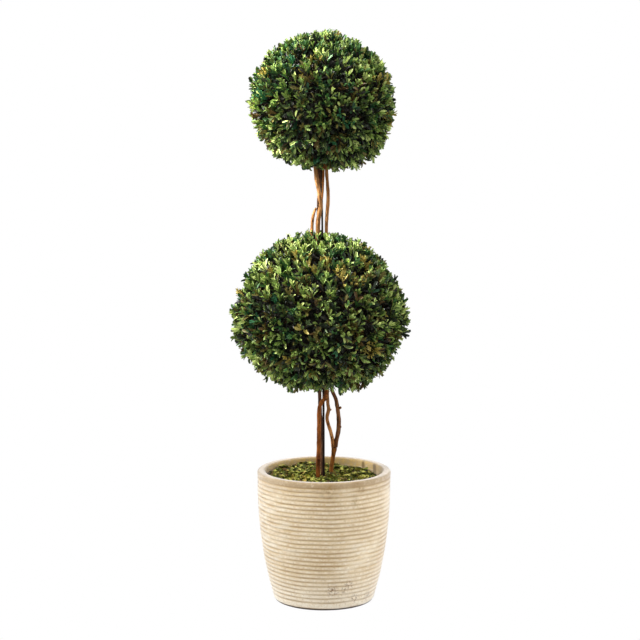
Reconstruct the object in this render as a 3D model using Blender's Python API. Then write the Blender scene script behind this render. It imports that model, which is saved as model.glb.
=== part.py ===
"""Double ball boxwood topiary in a ribbed stone pot.

Two clipped balls of boxwood, the lower one larger, sit on a bundle of bare stems round one
straight rod. The stems stand in a fill under a layer of moss, inside a round pot with thrown ribs.
Metres, +Z up. The origin is the centre of the pot's flat underside, and the front is -Y.
"""
import math
import random
from collections import namedtuple

import bmesh
import bpy
from mathutils import Matrix, Vector, geometry, noise

# Clearance between neighbouring solids
CLEARANCE = 0.0003
# A bored hole has flat sides, so its corners stand a little further out than its sides
BORE_CLEARANCE = 0.0004
MERGE_DISTANCE = 0.000001

# Pot
POT_HEIGHT = 0.2815
RIM_RADIUS = 0.1430
FOOT_RADIUS = 0.1060
FOOT_ROUNDING = 0.0045
# The side swells quickly above the foot and stands upright under the rim
SIDE_SWELL = 2.38
# The wall thickens near its top, where this power law makes it as thick as the rim
WALL = 0.014
RIM_WALL = 0.0175
RIM_WALL_POWER = 4
WALL_STEPS = 5
FLOOR = 0.018
RIM_ROUNDING = 0.0045
RIM_CORNER = POT_HEIGHT - RIM_ROUNDING
GROOVE_COUNT = 28
TOP_GROOVE = 0.2695
LOWEST_GROOVE = 0.0180
GROOVE_DEPTH = 0.0017
# Height in which a plain band rounds off into its nearest groove
BAND_ROUNDING = 0.0034
POT_SEGMENTS = 30
ROUNDING_STEPS = 3

# Fill and moss inside the pot
FILL_TOP = 0.237
FILL_STEPS = 3
MOSS_TOP = 0.2645
# The moss fits the mouth, the narrowest ring of the inner wall above the fill
MOSS_RADIUS = RIM_RADIUS - RIM_WALL - CLEARANCE
# The moss lies higher at the back and at the left
MOSS_SLOPE = Vector((-0.035, 0.050))
MOSS_LUMP = 0.007
MOSS_LUMP_SIZE = 0.030
MOSS_RINGS = 5
MOSS_EDGE_DROP = 0.005
MOSS_EDGE_POWER = 4

# Balls: half width and half height to the furthest leaf tips. Clipping left each one fuller or flatter in places,
# given by direction, rise as a share of the reach, and breadth as a share of it.
Ball = namedtuple("Ball", "centre reach uneven sprigs seed")
UPPER_BALL = Ball(
    centre=Vector((-0.0045, 0.0, 1.0660)),
    reach=Vector((0.160, 0.160, 0.151)),
    uneven=(
        (Vector((0.63, 0.0, -0.78)), 0.090, 0.36),
        (Vector((0.57, 0.0, 0.82)), -0.037, 0.20),
        (Vector((0.20, 0.0, 0.98)), 0.030, 0.20),
    ),
    sprigs=42,
    seed=7,
)
LOWER_BALL = Ball(
    centre=Vector((-0.0085, 0.0, 0.6180)),
    reach=Vector((0.196, 0.196, 0.178)),
    uneven=(
        (Vector((-0.95, 0.0, 0.31)), -0.056, 0.22),
        (Vector((-0.82, 0.0, 0.57)), -0.022, 0.25),
        (Vector((-0.22, 0.0, 0.97)), 0.045, 0.20),
        (Vector((0.71, 0.0, 0.71)), -0.024, 0.20),
        (Vector((0.91, 0.0, 0.42)), -0.050, 0.28),
        (Vector((0.94, 0.0, -0.34)), -0.025, 0.15),
        (Vector((0.50, 0.0, -0.87)), 0.040, 0.20),
        (Vector((0.12, -0.05, -0.99)), -0.080, 0.17),
    ),
    sprigs=60,
    seed=11,
)
# Shares of the reach, measured out from a ball's centre
CORE_SHARE = 0.85
CORE_LUMP_SHARE = 0.025
CORE_LUMPS_PER_RADIUS = 2.0
CORE_SUBDIVISIONS = 3
TWIG_ROOT_SHARE = 0.79
TWIG_END_SHARE = 0.905
LEAF_TIP_SHARES = (0.95, 0.99)
END_LEAF_TIP_SHARES = (0.985, 1.0)
DIRECTION_SHAKE = 0.05

# Leaves stand for the clipped ends of several real leaves, so they are larger than life
LEAF_LENGTH = 0.050
LEAF_WIDTH = 0.026
LEAF_THICKNESS = 0.0028
LEAF_SIZES = (0.85, 1.08)
END_LEAF_SINK = 0.003
# A twig has one leaf on each of its three sides, each lower than the last
TWIG_SIDES = 3
FIRST_LEAF_DROP = 0.004
LEAF_PITCH = 0.0022
TWIG_ROOT_RADIUS = 0.0048
TWIG_END_RADIUS = 0.0038
# A leaf's root lies beyond the twig's axis, short of the corner opposite its side
LEAF_ROOT_SHARE = 0.7
# A leaf or twig nearer than this to a stem's surface is skipped
STEM_MARGIN = 0.002
STEM_TEST_STEPS = 4
GOLDEN_ANGLE = math.pi * (3.0 - math.sqrt(5.0))

# Heights where the stems end, inside the fill and inside the balls' cores
STEM_FOOT = 0.203
ROD_FOOT = 0.045
LOWER_SOCKET = 0.489
LOWER_TOP_SOCKET = 0.752
UPPER_SOCKET = 0.957
ROD_TOP = 1.032
ROD_RADIUS = 0.0018

# Distance between the rings of a stem and of the rod, and their sides by bevel resolution
RING_SPACING = 0.016
ROD_RING_SPACING = 0.070
STEM_BEVEL = 2
ROD_BEVEL = 4

# Stems: (x, y, z, radius) along each one, from its foot to its tip
STEMS = {
    "support_rod": [
        (-0.0006, 0.0, ROD_FOOT, ROD_RADIUS),
        (-0.0010, 0.0, 0.4300, ROD_RADIUS),
        (-0.0037, 0.0, 0.8060, ROD_RADIUS),
        (-0.0080, 0.0, ROD_TOP, ROD_RADIUS),
    ],
    "left_stem": [
        (-0.0138, -0.0100, STEM_FOOT, 0.0043),
        (-0.0130, -0.0100, 0.2620, 0.0044),
        (-0.0124, -0.0100, 0.3020, 0.0046),
        (-0.0112, -0.0105, 0.3360, 0.0043),
        (-0.0108, -0.0120, 0.3800, 0.0043),
        (-0.0100, -0.0135, 0.4150, 0.0043),
        (-0.0058, -0.0145, 0.4290, 0.0042),
        (0.0024, -0.0160, 0.4430, 0.0041),
        (0.0076, -0.0175, LOWER_SOCKET, 0.0038),
    ],
    "back_stem": [
        (-0.0034, 0.0145, STEM_FOOT, 0.0033),
        (-0.0041, 0.0140, 0.3000, 0.0033),
        (-0.0050, 0.0130, 0.3560, 0.0032),
        (-0.0084, 0.0120, 0.4040, 0.0028),
        (-0.0092, 0.0120, LOWER_SOCKET, 0.0027),
    ],
    "fork_stem": [
        (0.0128, 0.0310, STEM_FOOT, 0.0046),
        (0.0149, 0.0300, 0.2640, 0.0043),
        (0.0184, 0.0280, 0.2950, 0.0044),
        (0.0214, 0.0250, 0.3160, 0.0050),
        (0.0223, 0.0247, 0.3236, 0.0061),
    ],
    "fork_left_limb": [
        (0.0189, 0.0245, 0.3252, 0.0032),
        (0.0188, 0.0240, 0.3310, 0.0034),
        (0.0180, 0.0218, 0.3440, 0.0039),
        (0.0141, 0.0155, 0.3620, 0.0037),
        (0.0066, 0.0085, 0.3900, 0.0037),
        (0.0098, 0.0080, 0.4110, 0.0039),
        (0.0080, 0.0080, 0.4300, 0.0034),
        (0.0070, 0.0085, LOWER_SOCKET, 0.0030),
    ],
    "fork_right_limb": [
        (0.0259, 0.0248, 0.3252, 0.0032),
        (0.0263, 0.0245, 0.3310, 0.0038),
        (0.0275, 0.0235, 0.3440, 0.0045),
        (0.0304, 0.0220, 0.3580, 0.0048),
        (0.0318, 0.0200, 0.3740, 0.0048),
        (0.0311, 0.0165, 0.3960, 0.0044),
        (0.0258, 0.0100, 0.4310, 0.0041),
        (0.0172, 0.0060, 0.4540, 0.0037),
        (0.0138, 0.0040, LOWER_SOCKET, 0.0034),
    ],
    "curved_upper_stem": [
        (-0.0127, -0.0100, LOWER_TOP_SOCKET, 0.0044),
        (-0.0127, -0.0100, 0.8080, 0.0046),
        (-0.0103, -0.0100, 0.8290, 0.0045),
        (-0.0071, -0.0100, 0.8500, 0.0039),
        (-0.0096, -0.0100, 0.8680, 0.0038),
        (-0.0112, -0.0100, 0.8810, 0.0041),
        (-0.0159, -0.0100, 0.9060, 0.0043),
        (-0.0205, -0.0100, UPPER_SOCKET, 0.0042),
    ],
    "back_upper_stem": [
        (-0.0120, 0.0085, LOWER_TOP_SOCKET, 0.0024),
        (-0.0126, 0.0085, 0.8475, 0.0022),
        (-0.0100, 0.0072, 0.9000, 0.0024),
        (-0.0098, 0.0070, UPPER_SOCKET, 0.0024),
    ],
    "right_upper_stem": [
        (0.0054, 0.0020, LOWER_TOP_SOCKET, 0.0035),
        (0.0052, 0.0020, 0.8100, 0.0035),
        (0.0086, 0.0020, 0.8600, 0.0037),
        (0.0074, 0.0020, 0.8910, 0.0034),
        (0.0055, 0.0020, 0.9160, 0.0035),
        (0.0050, 0.0020, UPPER_SOCKET, 0.0035),
    ],
    "thin_upper_shoot": [
        (-0.0040, -0.0152, 0.8600, 0.0016),
        (-0.0034, -0.0144, 0.8700, 0.0019),
        (-0.0024, -0.0136, 0.8850, 0.0021),
        (-0.0018, -0.0130, 0.9060, 0.0026),
        (-0.0004, -0.0130, UPPER_SOCKET, 0.0027),
    ],
    "side_shoot": [
        (-0.0272, 0.0060, LOWER_TOP_SOCKET, 0.0027),
        (-0.0258, 0.0060, 0.7960, 0.0026),
        (-0.0240, 0.0068, 0.8180, 0.0026),
        (-0.0208, 0.0078, 0.8330, 0.0024),
        (-0.0170, 0.0085, 0.8425, 0.0018),
    ],
}

# Base colour and roughness of each material
POT_STONE = ("pot_stone", (0.66, 0.57, 0.43), 0.85)
POTTING_FILL = ("potting_fill", (0.10, 0.07, 0.05), 0.95)
MOSS_LITTER = ("moss_litter", (0.27, 0.28, 0.06), 0.90)
BLACK_ROD = ("black_rod", (0.02, 0.02, 0.02), 0.35)
PALE_BARK = ("pale_bark", (0.36, 0.20, 0.10), 0.80)
DARK_BARK = ("dark_bark", (0.12, 0.07, 0.04), 0.85)
BROWN_BARK = ("brown_bark", (0.24, 0.14, 0.08), 0.80)
BOXWOOD_LEAF = ("boxwood_leaf", (0.12, 0.22, 0.05), 0.50)
STEM_FINISH = {
    "support_rod": BLACK_ROD,
    "left_stem": PALE_BARK,
    "back_stem": DARK_BARK,
    "fork_stem": BROWN_BARK,
    "fork_left_limb": BROWN_BARK,
    "fork_right_limb": BROWN_BARK,
    "curved_upper_stem": PALE_BARK,
    "back_upper_stem": DARK_BARK,
    "right_upper_stem": BROWN_BARK,
    "thin_upper_shoot": BROWN_BARK,
    "side_shoot": DARK_BARK,
}


def clear_scene():
    for item in list(bpy.data.objects):
        bpy.data.objects.remove(item, do_unlink=True)


def make_material(finish):
    """Return the material of a finish, made on first use."""
    name, colour, roughness = finish
    material = bpy.data.materials.get(name)
    if material:
        return material
    material = bpy.data.materials.new(name)
    material.use_nodes = True
    shader = material.node_tree.nodes["Principled BSDF"]
    shader.inputs["Base Color"].default_value = (*colour, 1.0)
    shader.inputs["Roughness"].default_value = roughness
    return material


def add_object(name, mesh, finish, smooth_angle=math.radians(35)):
    """Link a mesh to the scene under a node's name, with its finish and smooth shading."""
    mesh.name = name
    mesh.materials.clear()
    mesh.materials.append(make_material(finish))
    mesh.shade_smooth()
    mesh.set_sharp_from_angle(angle=smooth_angle)
    item = bpy.data.objects.new(name, mesh)
    bpy.context.scene.collection.objects.link(item)
    return item


def finished_mesh(name, shape):
    """Turn a bmesh into a mesh with merged doubles and faces pointing out."""
    bmesh.ops.remove_doubles(shape, verts=shape.verts, dist=MERGE_DISTANCE)
    bmesh.ops.recalc_face_normals(shape, faces=shape.faces)
    mesh = bpy.data.meshes.new(name)
    shape.to_mesh(mesh)
    shape.free()
    return mesh


def spun_shape(profile):
    """Turn (radius, height) points, which start and end on the axis, about Z."""
    shape = bmesh.new()
    points = [shape.verts.new((radius, 0.0, height)) for radius, height in profile]
    edges = [shape.edges.new(pair) for pair in zip(points, points[1:])]
    bmesh.ops.spin(
        shape,
        geom=points + edges,
        axis=(0.0, 0.0, 1.0),
        cent=(0.0, 0.0, 0.0),
        angle=math.tau,
        steps=POT_SEGMENTS,
        use_merge=True,
    )
    bmesh.ops.remove_doubles(shape, verts=shape.verts, dist=MERGE_DISTANCE)
    return shape


# Pot

def outer_radius(height):
    """Radius of the pot's side at its ribs' crests."""
    share = 1.0 - height / POT_HEIGHT
    return FOOT_RADIUS + (RIM_RADIUS - FOOT_RADIUS) * (1.0 - share ** SIDE_SWELL)


def inner_radius(height):
    """Radius of the smooth inner wall, which thickens a little towards the rim."""
    rise = height / POT_HEIGHT
    return outer_radius(height) - WALL - (RIM_WALL - WALL) * rise ** RIM_WALL_POWER


def straight_wall_radius(height):
    """Radius of the pot's inner wall, which runs straight between its few rings."""
    span = (RIM_CORNER - FLOOR) / WALL_STEPS
    below = min(int((height - FLOOR) / span), WALL_STEPS - 1)
    low = FLOOR + span * below
    share = (height - low) / span
    return inner_radius(low) * (1.0 - share) + inner_radius(low + span) * share


def rounded_corner(centre_radius, centre_height, size, start_angle, end_angle):
    """Points of an arc from one angle to another, as (radius, height) pairs."""
    points = []
    for step in range(ROUNDING_STEPS + 1):
        angle = start_angle + (end_angle - start_angle) * step / ROUNDING_STEPS
        points.append((centre_radius + size * math.cos(angle), centre_height + size * math.sin(angle)))
    return points


def ribbed_side():
    """Groove, crest, groove and so on, from the lowest groove to the top one."""
    pitch = (TOP_GROOVE - LOWEST_GROOVE) / (GROOVE_COUNT - 1)
    points = []
    for index in range(GROOVE_COUNT):
        groove = LOWEST_GROOVE + pitch * index
        points.append((outer_radius(groove) - GROOVE_DEPTH, groove))
        if index < GROOVE_COUNT - 1:
            crest = groove + pitch / 2
            points.append((outer_radius(crest), crest))
    return points


def make_pot():
    quarter = math.pi / 2
    foot = rounded_corner(FOOT_RADIUS - FOOT_ROUNDING, FOOT_ROUNDING, FOOT_ROUNDING, -quarter, 0.0)
    rim_outside = rounded_corner(RIM_RADIUS - RIM_ROUNDING, RIM_CORNER, RIM_ROUNDING, 0.0, quarter)
    rim_inside_radius = RIM_RADIUS - RIM_WALL + RIM_ROUNDING
    rim_inside = rounded_corner(rim_inside_radius, RIM_CORNER, RIM_ROUNDING, quarter, math.pi)
    wall = []
    for step in range(1, WALL_STEPS + 1):
        height = RIM_CORNER + (FLOOR - RIM_CORNER) * step / WALL_STEPS
        wall.append((inner_radius(height), height))
    low_band = LOWEST_GROOVE - BAND_ROUNDING
    rim_band = TOP_GROOVE + BAND_ROUNDING
    profile = [(0.0, 0.0)] + foot + [(outer_radius(low_band), low_band)] + ribbed_side()
    profile += [(outer_radius(rim_band), rim_band)] + rim_outside + rim_inside + wall + [(0.0, FLOOR)]
    return add_object("planter", finished_mesh("planter", spun_shape(profile)), POT_STONE)


# Fill and moss

def make_fill(bores):
    bottom = FLOOR + CLEARANCE
    profile = [(0.0, bottom)]
    for step in range(FILL_STEPS + 1):
        height = bottom + (FILL_TOP - bottom) * step / FILL_STEPS
        profile.append((straight_wall_radius(height) - CLEARANCE, height))
    profile.append((0.0, FILL_TOP))
    fill = add_object("potting_fill", finished_mesh("potting_fill", spun_shape(profile)), POTTING_FILL)
    add_boolean(fill, bores, "DIFFERENCE")
    return fill


def moss_height(x, y):
    """Height of the lumpy moss over a spot of the pot's mouth."""
    lump = MOSS_LUMP * noise.noise(Vector((x, y, 0.0)) / MOSS_LUMP_SIZE)
    edge_drop = MOSS_EDGE_DROP * (math.hypot(x, y) / MOSS_RADIUS) ** MOSS_EDGE_POWER
    return MOSS_TOP + MOSS_SLOPE.dot(Vector((x, y))) + lump - edge_drop


def make_moss(bores):
    bottom = FILL_TOP + CLEARANCE
    profile = [(0.0, bottom), (MOSS_RADIUS, bottom)]
    for ring in range(MOSS_RINGS, -1, -1):
        profile.append((MOSS_RADIUS * ring / MOSS_RINGS, MOSS_TOP))
    shape = spun_shape(profile)
    for point in shape.verts:
        if point.co.z > bottom + MERGE_DISTANCE:
            point.co.z = moss_height(point.co.x, point.co.y)
    moss = add_object("moss_layer", finished_mesh("moss_layer", shape), MOSS_LITTER)
    add_boolean(moss, bores, "DIFFERENCE")
    return moss


# Stems

def smooth_path(controls, spacing):
    """Even rings along a smooth curve through a stem's points, as (place, radius) pairs."""
    spots = [Vector(control) for control in controls]
    spots = [spots[0] * 2 - spots[1]] + spots + [spots[-1] * 2 - spots[-2]]
    path = []
    for before, start, end, after in zip(spots, spots[1:], spots[2:], spots[3:]):
        pieces = max(1, round((end - start).length / spacing))
        for piece in range(pieces):
            share = piece / pieces
            path.append(catmull_rom(before, start, end, after, share))
    path.append(spots[-2])
    return [(spot.to_3d(), spot.w) for spot in path]


def catmull_rom(before, start, end, after, share):
    """Point of the smooth curve between start and end."""
    slope_in = (end - before) / 2
    slope_out = (after - start) / 2
    square = share ** 2
    cube = share ** 3
    return (
        start * (2 * cube - 3 * square + 1)
        + slope_in * (cube - 2 * square + share)
        + end * (3 * square - 2 * cube)
        + slope_out * (cube - square)
    )


def tube_mesh(name, path, bevel):
    """Skin a path of (place, radius) pairs as one tapering tube with closed ends."""
    curve = bpy.data.curves.new(name, "CURVE")
    curve.dimensions = "3D"
    curve.bevel_depth = 1.0
    curve.bevel_resolution = bevel
    curve.use_fill_caps = True
    spline = curve.splines.new("POLY")
    spline.points.add(len(path) - 1)
    for point, (place, radius) in zip(spline.points, path):
        point.co = (*place, 1.0)
        point.radius = radius
    holder = bpy.data.objects.new(name, curve)
    bpy.context.scene.collection.objects.link(holder)
    bpy.context.view_layer.update()
    mesh = bpy.data.meshes.new_from_object(holder)
    bpy.data.objects.remove(holder, do_unlink=True)
    bpy.data.curves.remove(curve)
    shape = bmesh.new()
    shape.from_mesh(mesh)
    bpy.data.meshes.remove(mesh)
    return finished_mesh(name, shape)


def widened_path(path):
    """The same path with the bore's clearance all round and past both ends."""
    wide = [(place, radius + BORE_CLEARANCE) for place, radius in path]
    for end, inner in ((0, 1), (-1, -2)):
        outward = (path[end][0] - path[inner][0]).normalized()
        wide[end] = (path[end][0] + outward * BORE_CLEARANCE, wide[end][1])
    return wide


def make_stems(paths):
    for name, path in paths.items():
        bevel = ROD_BEVEL if name == "support_rod" else STEM_BEVEL
        add_object(name, tube_mesh(name, path, bevel), STEM_FINISH[name])


def make_bores(paths):
    """Hidden tubes, one round each stem, that cut its hole in the fill, the moss and the cores."""
    bores = bpy.data.collections.new("stem_bores")
    bpy.context.scene.collection.children.link(bores)
    for name, path in paths.items():
        bevel = ROD_BEVEL if name == "support_rod" else STEM_BEVEL
        bore = bpy.data.objects.new(name + "_bore", tube_mesh(name + "_bore", widened_path(path), bevel))
        bore.hide_render = True
        bore.display_type = "WIRE"
        bores.objects.link(bore)
    return bores


def add_boolean(item, collection, operation):
    modifier = item.modifiers.new(collection.name, "BOOLEAN")
    modifier.operation = operation
    modifier.operand_type = "COLLECTION"
    modifier.collection = collection
    modifier.solver = "EXACT"


# Foliage

def leaf_mesh():
    """Eight faces: one unit long from its root at the origin to its tip on +Z."""
    shape = bmesh.new()
    bmesh.ops.create_uvsphere(shape, u_segments=4, v_segments=2, radius=0.5)
    bmesh.ops.translate(shape, verts=shape.verts, vec=(0.0, 0.0, 0.5))
    return finished_mesh("leaf", shape)


def twig_mesh():
    """A three-sided tapering twig, one unit long up +Z from its root, with a corner on +X."""
    corner_on_x = Matrix.Rotation(-math.pi / 2, 4, "Z")
    shape = bmesh.new()
    bmesh.ops.create_cone(
        shape,
        cap_ends=True,
        cap_tris=True,
        segments=TWIG_SIDES,
        radius1=TWIG_ROOT_RADIUS,
        radius2=TWIG_END_RADIUS,
        depth=1.0,
        matrix=Matrix.Translation((0.0, 0.0, 0.5)) @ corner_on_x,
    )
    return finished_mesh("twig", shape)


def even_direction(index, count, rng):
    """Directions spread evenly over a ball from its top to its foot, each shaken a little."""
    height = 1.0 - 2.0 * index / (count - 1)
    turn = GOLDEN_ANGLE * index
    ring = math.sqrt(1.0 - height * height)
    shake = Vector([rng.uniform(-DIRECTION_SHAKE, DIRECTION_SHAKE) for _ in range(3)])
    if index == 0:
        shake = Vector()
    return (Vector((ring * math.cos(turn), ring * math.sin(turn), height)) + shake).normalized()


def across(direction):
    """A unit vector square to a direction."""
    reference = Vector((0.0, 0.0, 1.0))
    if abs(direction.z) > 0.9:
        reference = Vector((1.0, 0.0, 0.0))
    return direction.cross(reference).normalized()


def clipped_share(direction, ball):
    """How far out a ball was clipped in a unit direction, as a share of its reach."""
    share = 1.0
    for way, rise, breadth in ball.uneven:
        share += rise * math.exp(-(direction - way).length_squared / breadth ** 2)
    return share


def stretched(direction, ball):
    """A unit direction drawn out to the ball's clipped face."""
    share = clipped_share(direction, ball)
    return Vector([direction[axis] * ball.reach[axis] * share for axis in range(3)])


def frame_matrix(place, side, normal, along, sizes):
    """Matrix that lays a unit shape's X, Y and Z on three directions, with its size on each."""
    columns = [side * sizes[0], normal * sizes[1], along * sizes[2]]
    matrix = Matrix(columns).transposed().to_4x4()
    matrix.translation = place
    return matrix


def lean_to_reach(start, length, target):
    """Angle off the outward line at which a leaf from one radius has its tip at another."""
    cosine = (target ** 2 - start ** 2 - length ** 2) / (2.0 * start * length)
    return math.acos(max(-1.0, min(1.0, cosine)))


def leaf_matrices(end, side, outward, radius, reach, rng):
    """One leaf on the end of a twig and one on each of its sides, broad side outward.

    The twig ends at a radius from the ball's centre, and the leaf tips stay inside the reach.
    """
    root = end - outward * END_LEAF_SINK
    length = reach * rng.uniform(*END_LEAF_TIP_SHARES) - radius + END_LEAF_SINK
    sizes = (LEAF_WIDTH * length / LEAF_LENGTH, LEAF_THICKNESS, length)
    matrices = [frame_matrix(root, side, outward.cross(side), outward, sizes)]
    for index in range(TWIG_SIDES):
        turn = math.pi * (2 * index + 1) / TWIG_SIDES
        away = Matrix.Rotation(turn, 3, outward) @ side
        size = rng.uniform(*LEAF_SIZES)
        drop = FIRST_LEAF_DROP + LEAF_PITCH * index
        lean = lean_to_reach(radius - drop, LEAF_LENGTH * size, reach * rng.uniform(*LEAF_TIP_SHARES))
        along = (outward * math.cos(lean) + away * math.sin(lean)).normalized()
        width_way = outward.cross(away).normalized()
        sizes = (LEAF_WIDTH * size, LEAF_THICKNESS, LEAF_LENGTH * size)
        root = end - outward * drop - away * TWIG_END_RADIUS * LEAF_ROOT_SHARE
        matrices.append(frame_matrix(root, width_way, along.cross(width_way), along, sizes))
    return matrices


def inside_reach(point, ball):
    """True when a point lies inside a ball's furthest leaf tips."""
    offset = point - ball.centre
    way = Vector([offset[axis] / ball.reach[axis] for axis in range(3)])
    return way.length <= clipped_share(way.normalized(), ball)


def clear_of_stems(start, end, breadth, paths):
    """True when a twig or leaf of a breadth, from start to end, passes every stem with room."""
    samples = [start.lerp(end, step / STEM_TEST_STEPS) for step in range(STEM_TEST_STEPS + 1)]
    for path in paths.values():
        for (low, low_radius), (high, high_radius) in zip(path, path[1:]):
            margin = max(low_radius, high_radius) + STEM_MARGIN + breadth / 2
            for sample in samples:
                nearest, share = geometry.intersect_point_line(sample, low, high)
                if 0.0 <= share <= 1.0 and (nearest - sample).length < margin:
                    return False
    return True


def core_mesh(name, ball):
    """The ball's inner mass, a little lumpy and inside the leaves all round."""
    shape = bmesh.new()
    bmesh.ops.create_icosphere(shape, subdivisions=CORE_SUBDIVISIONS, radius=1.0)
    for point in shape.verts:
        spot = point.co * CORE_LUMPS_PER_RADIUS + Vector((ball.seed, 0.0, 0.0))
        lump = 1.0 + CORE_LUMP_SHARE * noise.noise(spot)
        point.co = ball.centre + stretched(point.co.normalized(), ball) * CORE_SHARE * lump
    return finished_mesh(name, shape)


def main_shell(mesh):
    """Keep the largest closed surface: sealed hollows are filled and loose scraps dropped."""
    shape = bmesh.new()
    shape.from_mesh(mesh)
    waiting = set(shape.faces)
    shells = []
    while waiting:
        front = [waiting.pop()]
        shell = list(front)
        while front:
            face = front.pop()
            near = {other for edge in face.edges for other in edge.link_faces} & waiting
            waiting -= near
            front += near
            shell += near
        shells.append(shell)
    shells.sort(key=len)
    scraps = [face for shell in shells[:-1] for face in shell]
    bmesh.ops.delete(shape, geom=scraps, context="FACES")
    shape.to_mesh(mesh)
    shape.free()


def place_copy(mesh, matrix, collection):
    """Put one more object that shares a mesh into a collection."""
    item = bpy.data.objects.new(mesh.name, mesh)
    item.matrix_world = matrix
    collection.objects.link(item)


def grow_sprigs(name, ball, paths):
    """Twigs and leaves all round a ball, as loose objects in a new collection."""
    rng = random.Random(ball.seed)
    leaf = leaf_mesh()
    twig = twig_mesh()
    growth = bpy.data.collections.new(name + "_growth")
    bpy.context.scene.collection.children.link(growth)
    for index in range(ball.sprigs):
        spoke = stretched(even_direction(index, ball.sprigs, rng), ball)
        root = ball.centre + spoke * TWIG_ROOT_SHARE
        end = ball.centre + spoke * TWIG_END_SHARE
        outward = spoke.normalized()
        if not clear_of_stems(root, end, TWIG_ROOT_RADIUS * 2, paths):
            continue
        side = Matrix.Rotation(rng.uniform(0.0, math.tau), 3, outward) @ across(outward)
        sizes = (1.0, 1.0, (end - root).length)
        place_copy(twig, frame_matrix(root, side, outward.cross(side), outward, sizes), growth)
        for matrix in leaf_matrices(end, side, outward, (end - ball.centre).length, spoke.length, rng):
            tip = matrix @ Vector((0.0, 0.0, 1.0))
            free = clear_of_stems(matrix.translation, tip, LEAF_WIDTH, paths)
            if inside_reach(tip, ball) and free:
                place_copy(leaf, matrix, growth)
    return growth


def make_ball(name, ball, paths, bores):
    """A clipped ball: a core bored for the stems, with twigs and leaves fused on all round it."""
    mass = add_object(name, core_mesh(name, ball), BOXWOOD_LEAF)
    add_boolean(mass, bores, "DIFFERENCE")
    growth = grow_sprigs(name, ball, paths)
    add_boolean(mass, growth, "UNION")
    apply_modifiers(mass)
    for item in list(growth.objects):
        bpy.data.objects.remove(item, do_unlink=True)
    bpy.data.collections.remove(growth)
    main_shell(mass.data)
    return mass


def apply_modifiers(item):
    """Replace an object's mesh by what its modifiers make of it."""
    bpy.context.view_layer.update()
    settled = item.evaluated_get(bpy.context.evaluated_depsgraph_get())
    mesh = bpy.data.meshes.new_from_object(settled)
    item.modifiers.clear()
    item.data = mesh


def build():
    clear_scene()
    paths = {}
    for name, controls in STEMS.items():
        spacing = ROD_RING_SPACING if name == "support_rod" else RING_SPACING
        paths[name] = smooth_path(controls, spacing)
    bores = make_bores(paths)
    make_pot()
    make_fill(bores)
    make_moss(bores)
    make_stems(paths)
    make_ball("lower_foliage_ball", LOWER_BALL, paths, bores)
    make_ball("upper_foliage_ball", UPPER_BALL, paths, bores)


build()
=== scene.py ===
# %% [markdown]
# # A double ball boxwood topiary in a ribbed pot
# This lesson dresses a finished model: a large and a small clipped ball of boxwood on a bundle of bare
# stems, round one straight rod, in a tall ribbed pot. The solid parts are loaded first and give the places
# and sizes. Each one is then replaced by a finer mesh, or gets a better finish. Metres, +Z up, and the
# front is -Y.

# %% Load the solid parts
import math
import random

import bmesh
import bpy
import numpy as np
from mathutils import Matrix, Vector, noise


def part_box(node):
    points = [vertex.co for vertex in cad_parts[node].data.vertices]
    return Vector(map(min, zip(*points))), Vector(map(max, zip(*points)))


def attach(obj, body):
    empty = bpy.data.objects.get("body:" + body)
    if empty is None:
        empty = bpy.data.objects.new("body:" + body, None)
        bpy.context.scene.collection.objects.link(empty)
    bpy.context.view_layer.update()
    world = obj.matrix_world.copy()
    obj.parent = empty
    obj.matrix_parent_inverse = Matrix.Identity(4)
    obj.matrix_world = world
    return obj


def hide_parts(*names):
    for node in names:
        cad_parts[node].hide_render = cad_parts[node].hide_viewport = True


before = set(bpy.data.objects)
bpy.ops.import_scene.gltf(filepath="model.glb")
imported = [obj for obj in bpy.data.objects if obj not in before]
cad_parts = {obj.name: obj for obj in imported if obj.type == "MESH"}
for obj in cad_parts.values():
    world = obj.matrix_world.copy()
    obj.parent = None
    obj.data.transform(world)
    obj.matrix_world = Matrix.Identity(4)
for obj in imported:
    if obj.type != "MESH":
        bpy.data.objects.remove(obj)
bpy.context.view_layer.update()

# %% [markdown]
# ## Camera
# The picture was taken from the height of the upper ball, looking slightly down, with a long lens that keeps
# upright lines nearly parallel. A camera in Blender looks along its own -Z, so turning it up by a right
# angle makes it level, and a little less than that makes it look down.

# %% Place the camera
CAMERA_PLACE = Vector((-0.0085, -3.9, 1.0906))
CAMERA_DOWN = math.radians(7.1)
# The focal length in pixels of a picture 640 pixels wide, turned into millimetres on a 36 mm sensor
FOCAL_PIXELS = 1850.0
PICTURE_WIDTH = 640
SENSOR = 36.0

camera_data = bpy.data.cameras.new("camera")
camera_data.sensor_width = SENSOR
camera_data.lens = SENSOR * FOCAL_PIXELS / PICTURE_WIDTH
camera = bpy.data.objects.new("camera", camera_data)
camera.location = CAMERA_PLACE
camera.rotation_euler = (math.pi / 2 - CAMERA_DOWN, 0.0, 0.0)
bpy.context.scene.collection.objects.link(camera)
bpy.context.scene.camera = camera
print("lens", round(camera_data.lens, 1), "mm")

# %% [markdown]
# ## Helpers for pieces
# A mesh is shaped in a bmesh, turned into an object at the origin, and the solid parts it stands for are
# hidden.
# Doubles are merged and the faces pointed outwards last, because a spin closes its seam only where points
# are merged, and an extruded ring may end up inside out.

# %% Turn a bmesh into a finished piece
MERGE_DISTANCE = 0.00001


def finish_mesh(name, shape, recalculate=True):
    """Merge doubles, point the faces outwards and leave a smooth mesh."""
    bmesh.ops.remove_doubles(shape, verts=shape.verts, dist=MERGE_DISTANCE)
    if recalculate:
        bmesh.ops.recalc_face_normals(shape, faces=shape.faces)
    mesh = bpy.data.meshes.new(name)
    shape.to_mesh(mesh)
    shape.free()
    mesh.shade_smooth()
    return mesh


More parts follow.
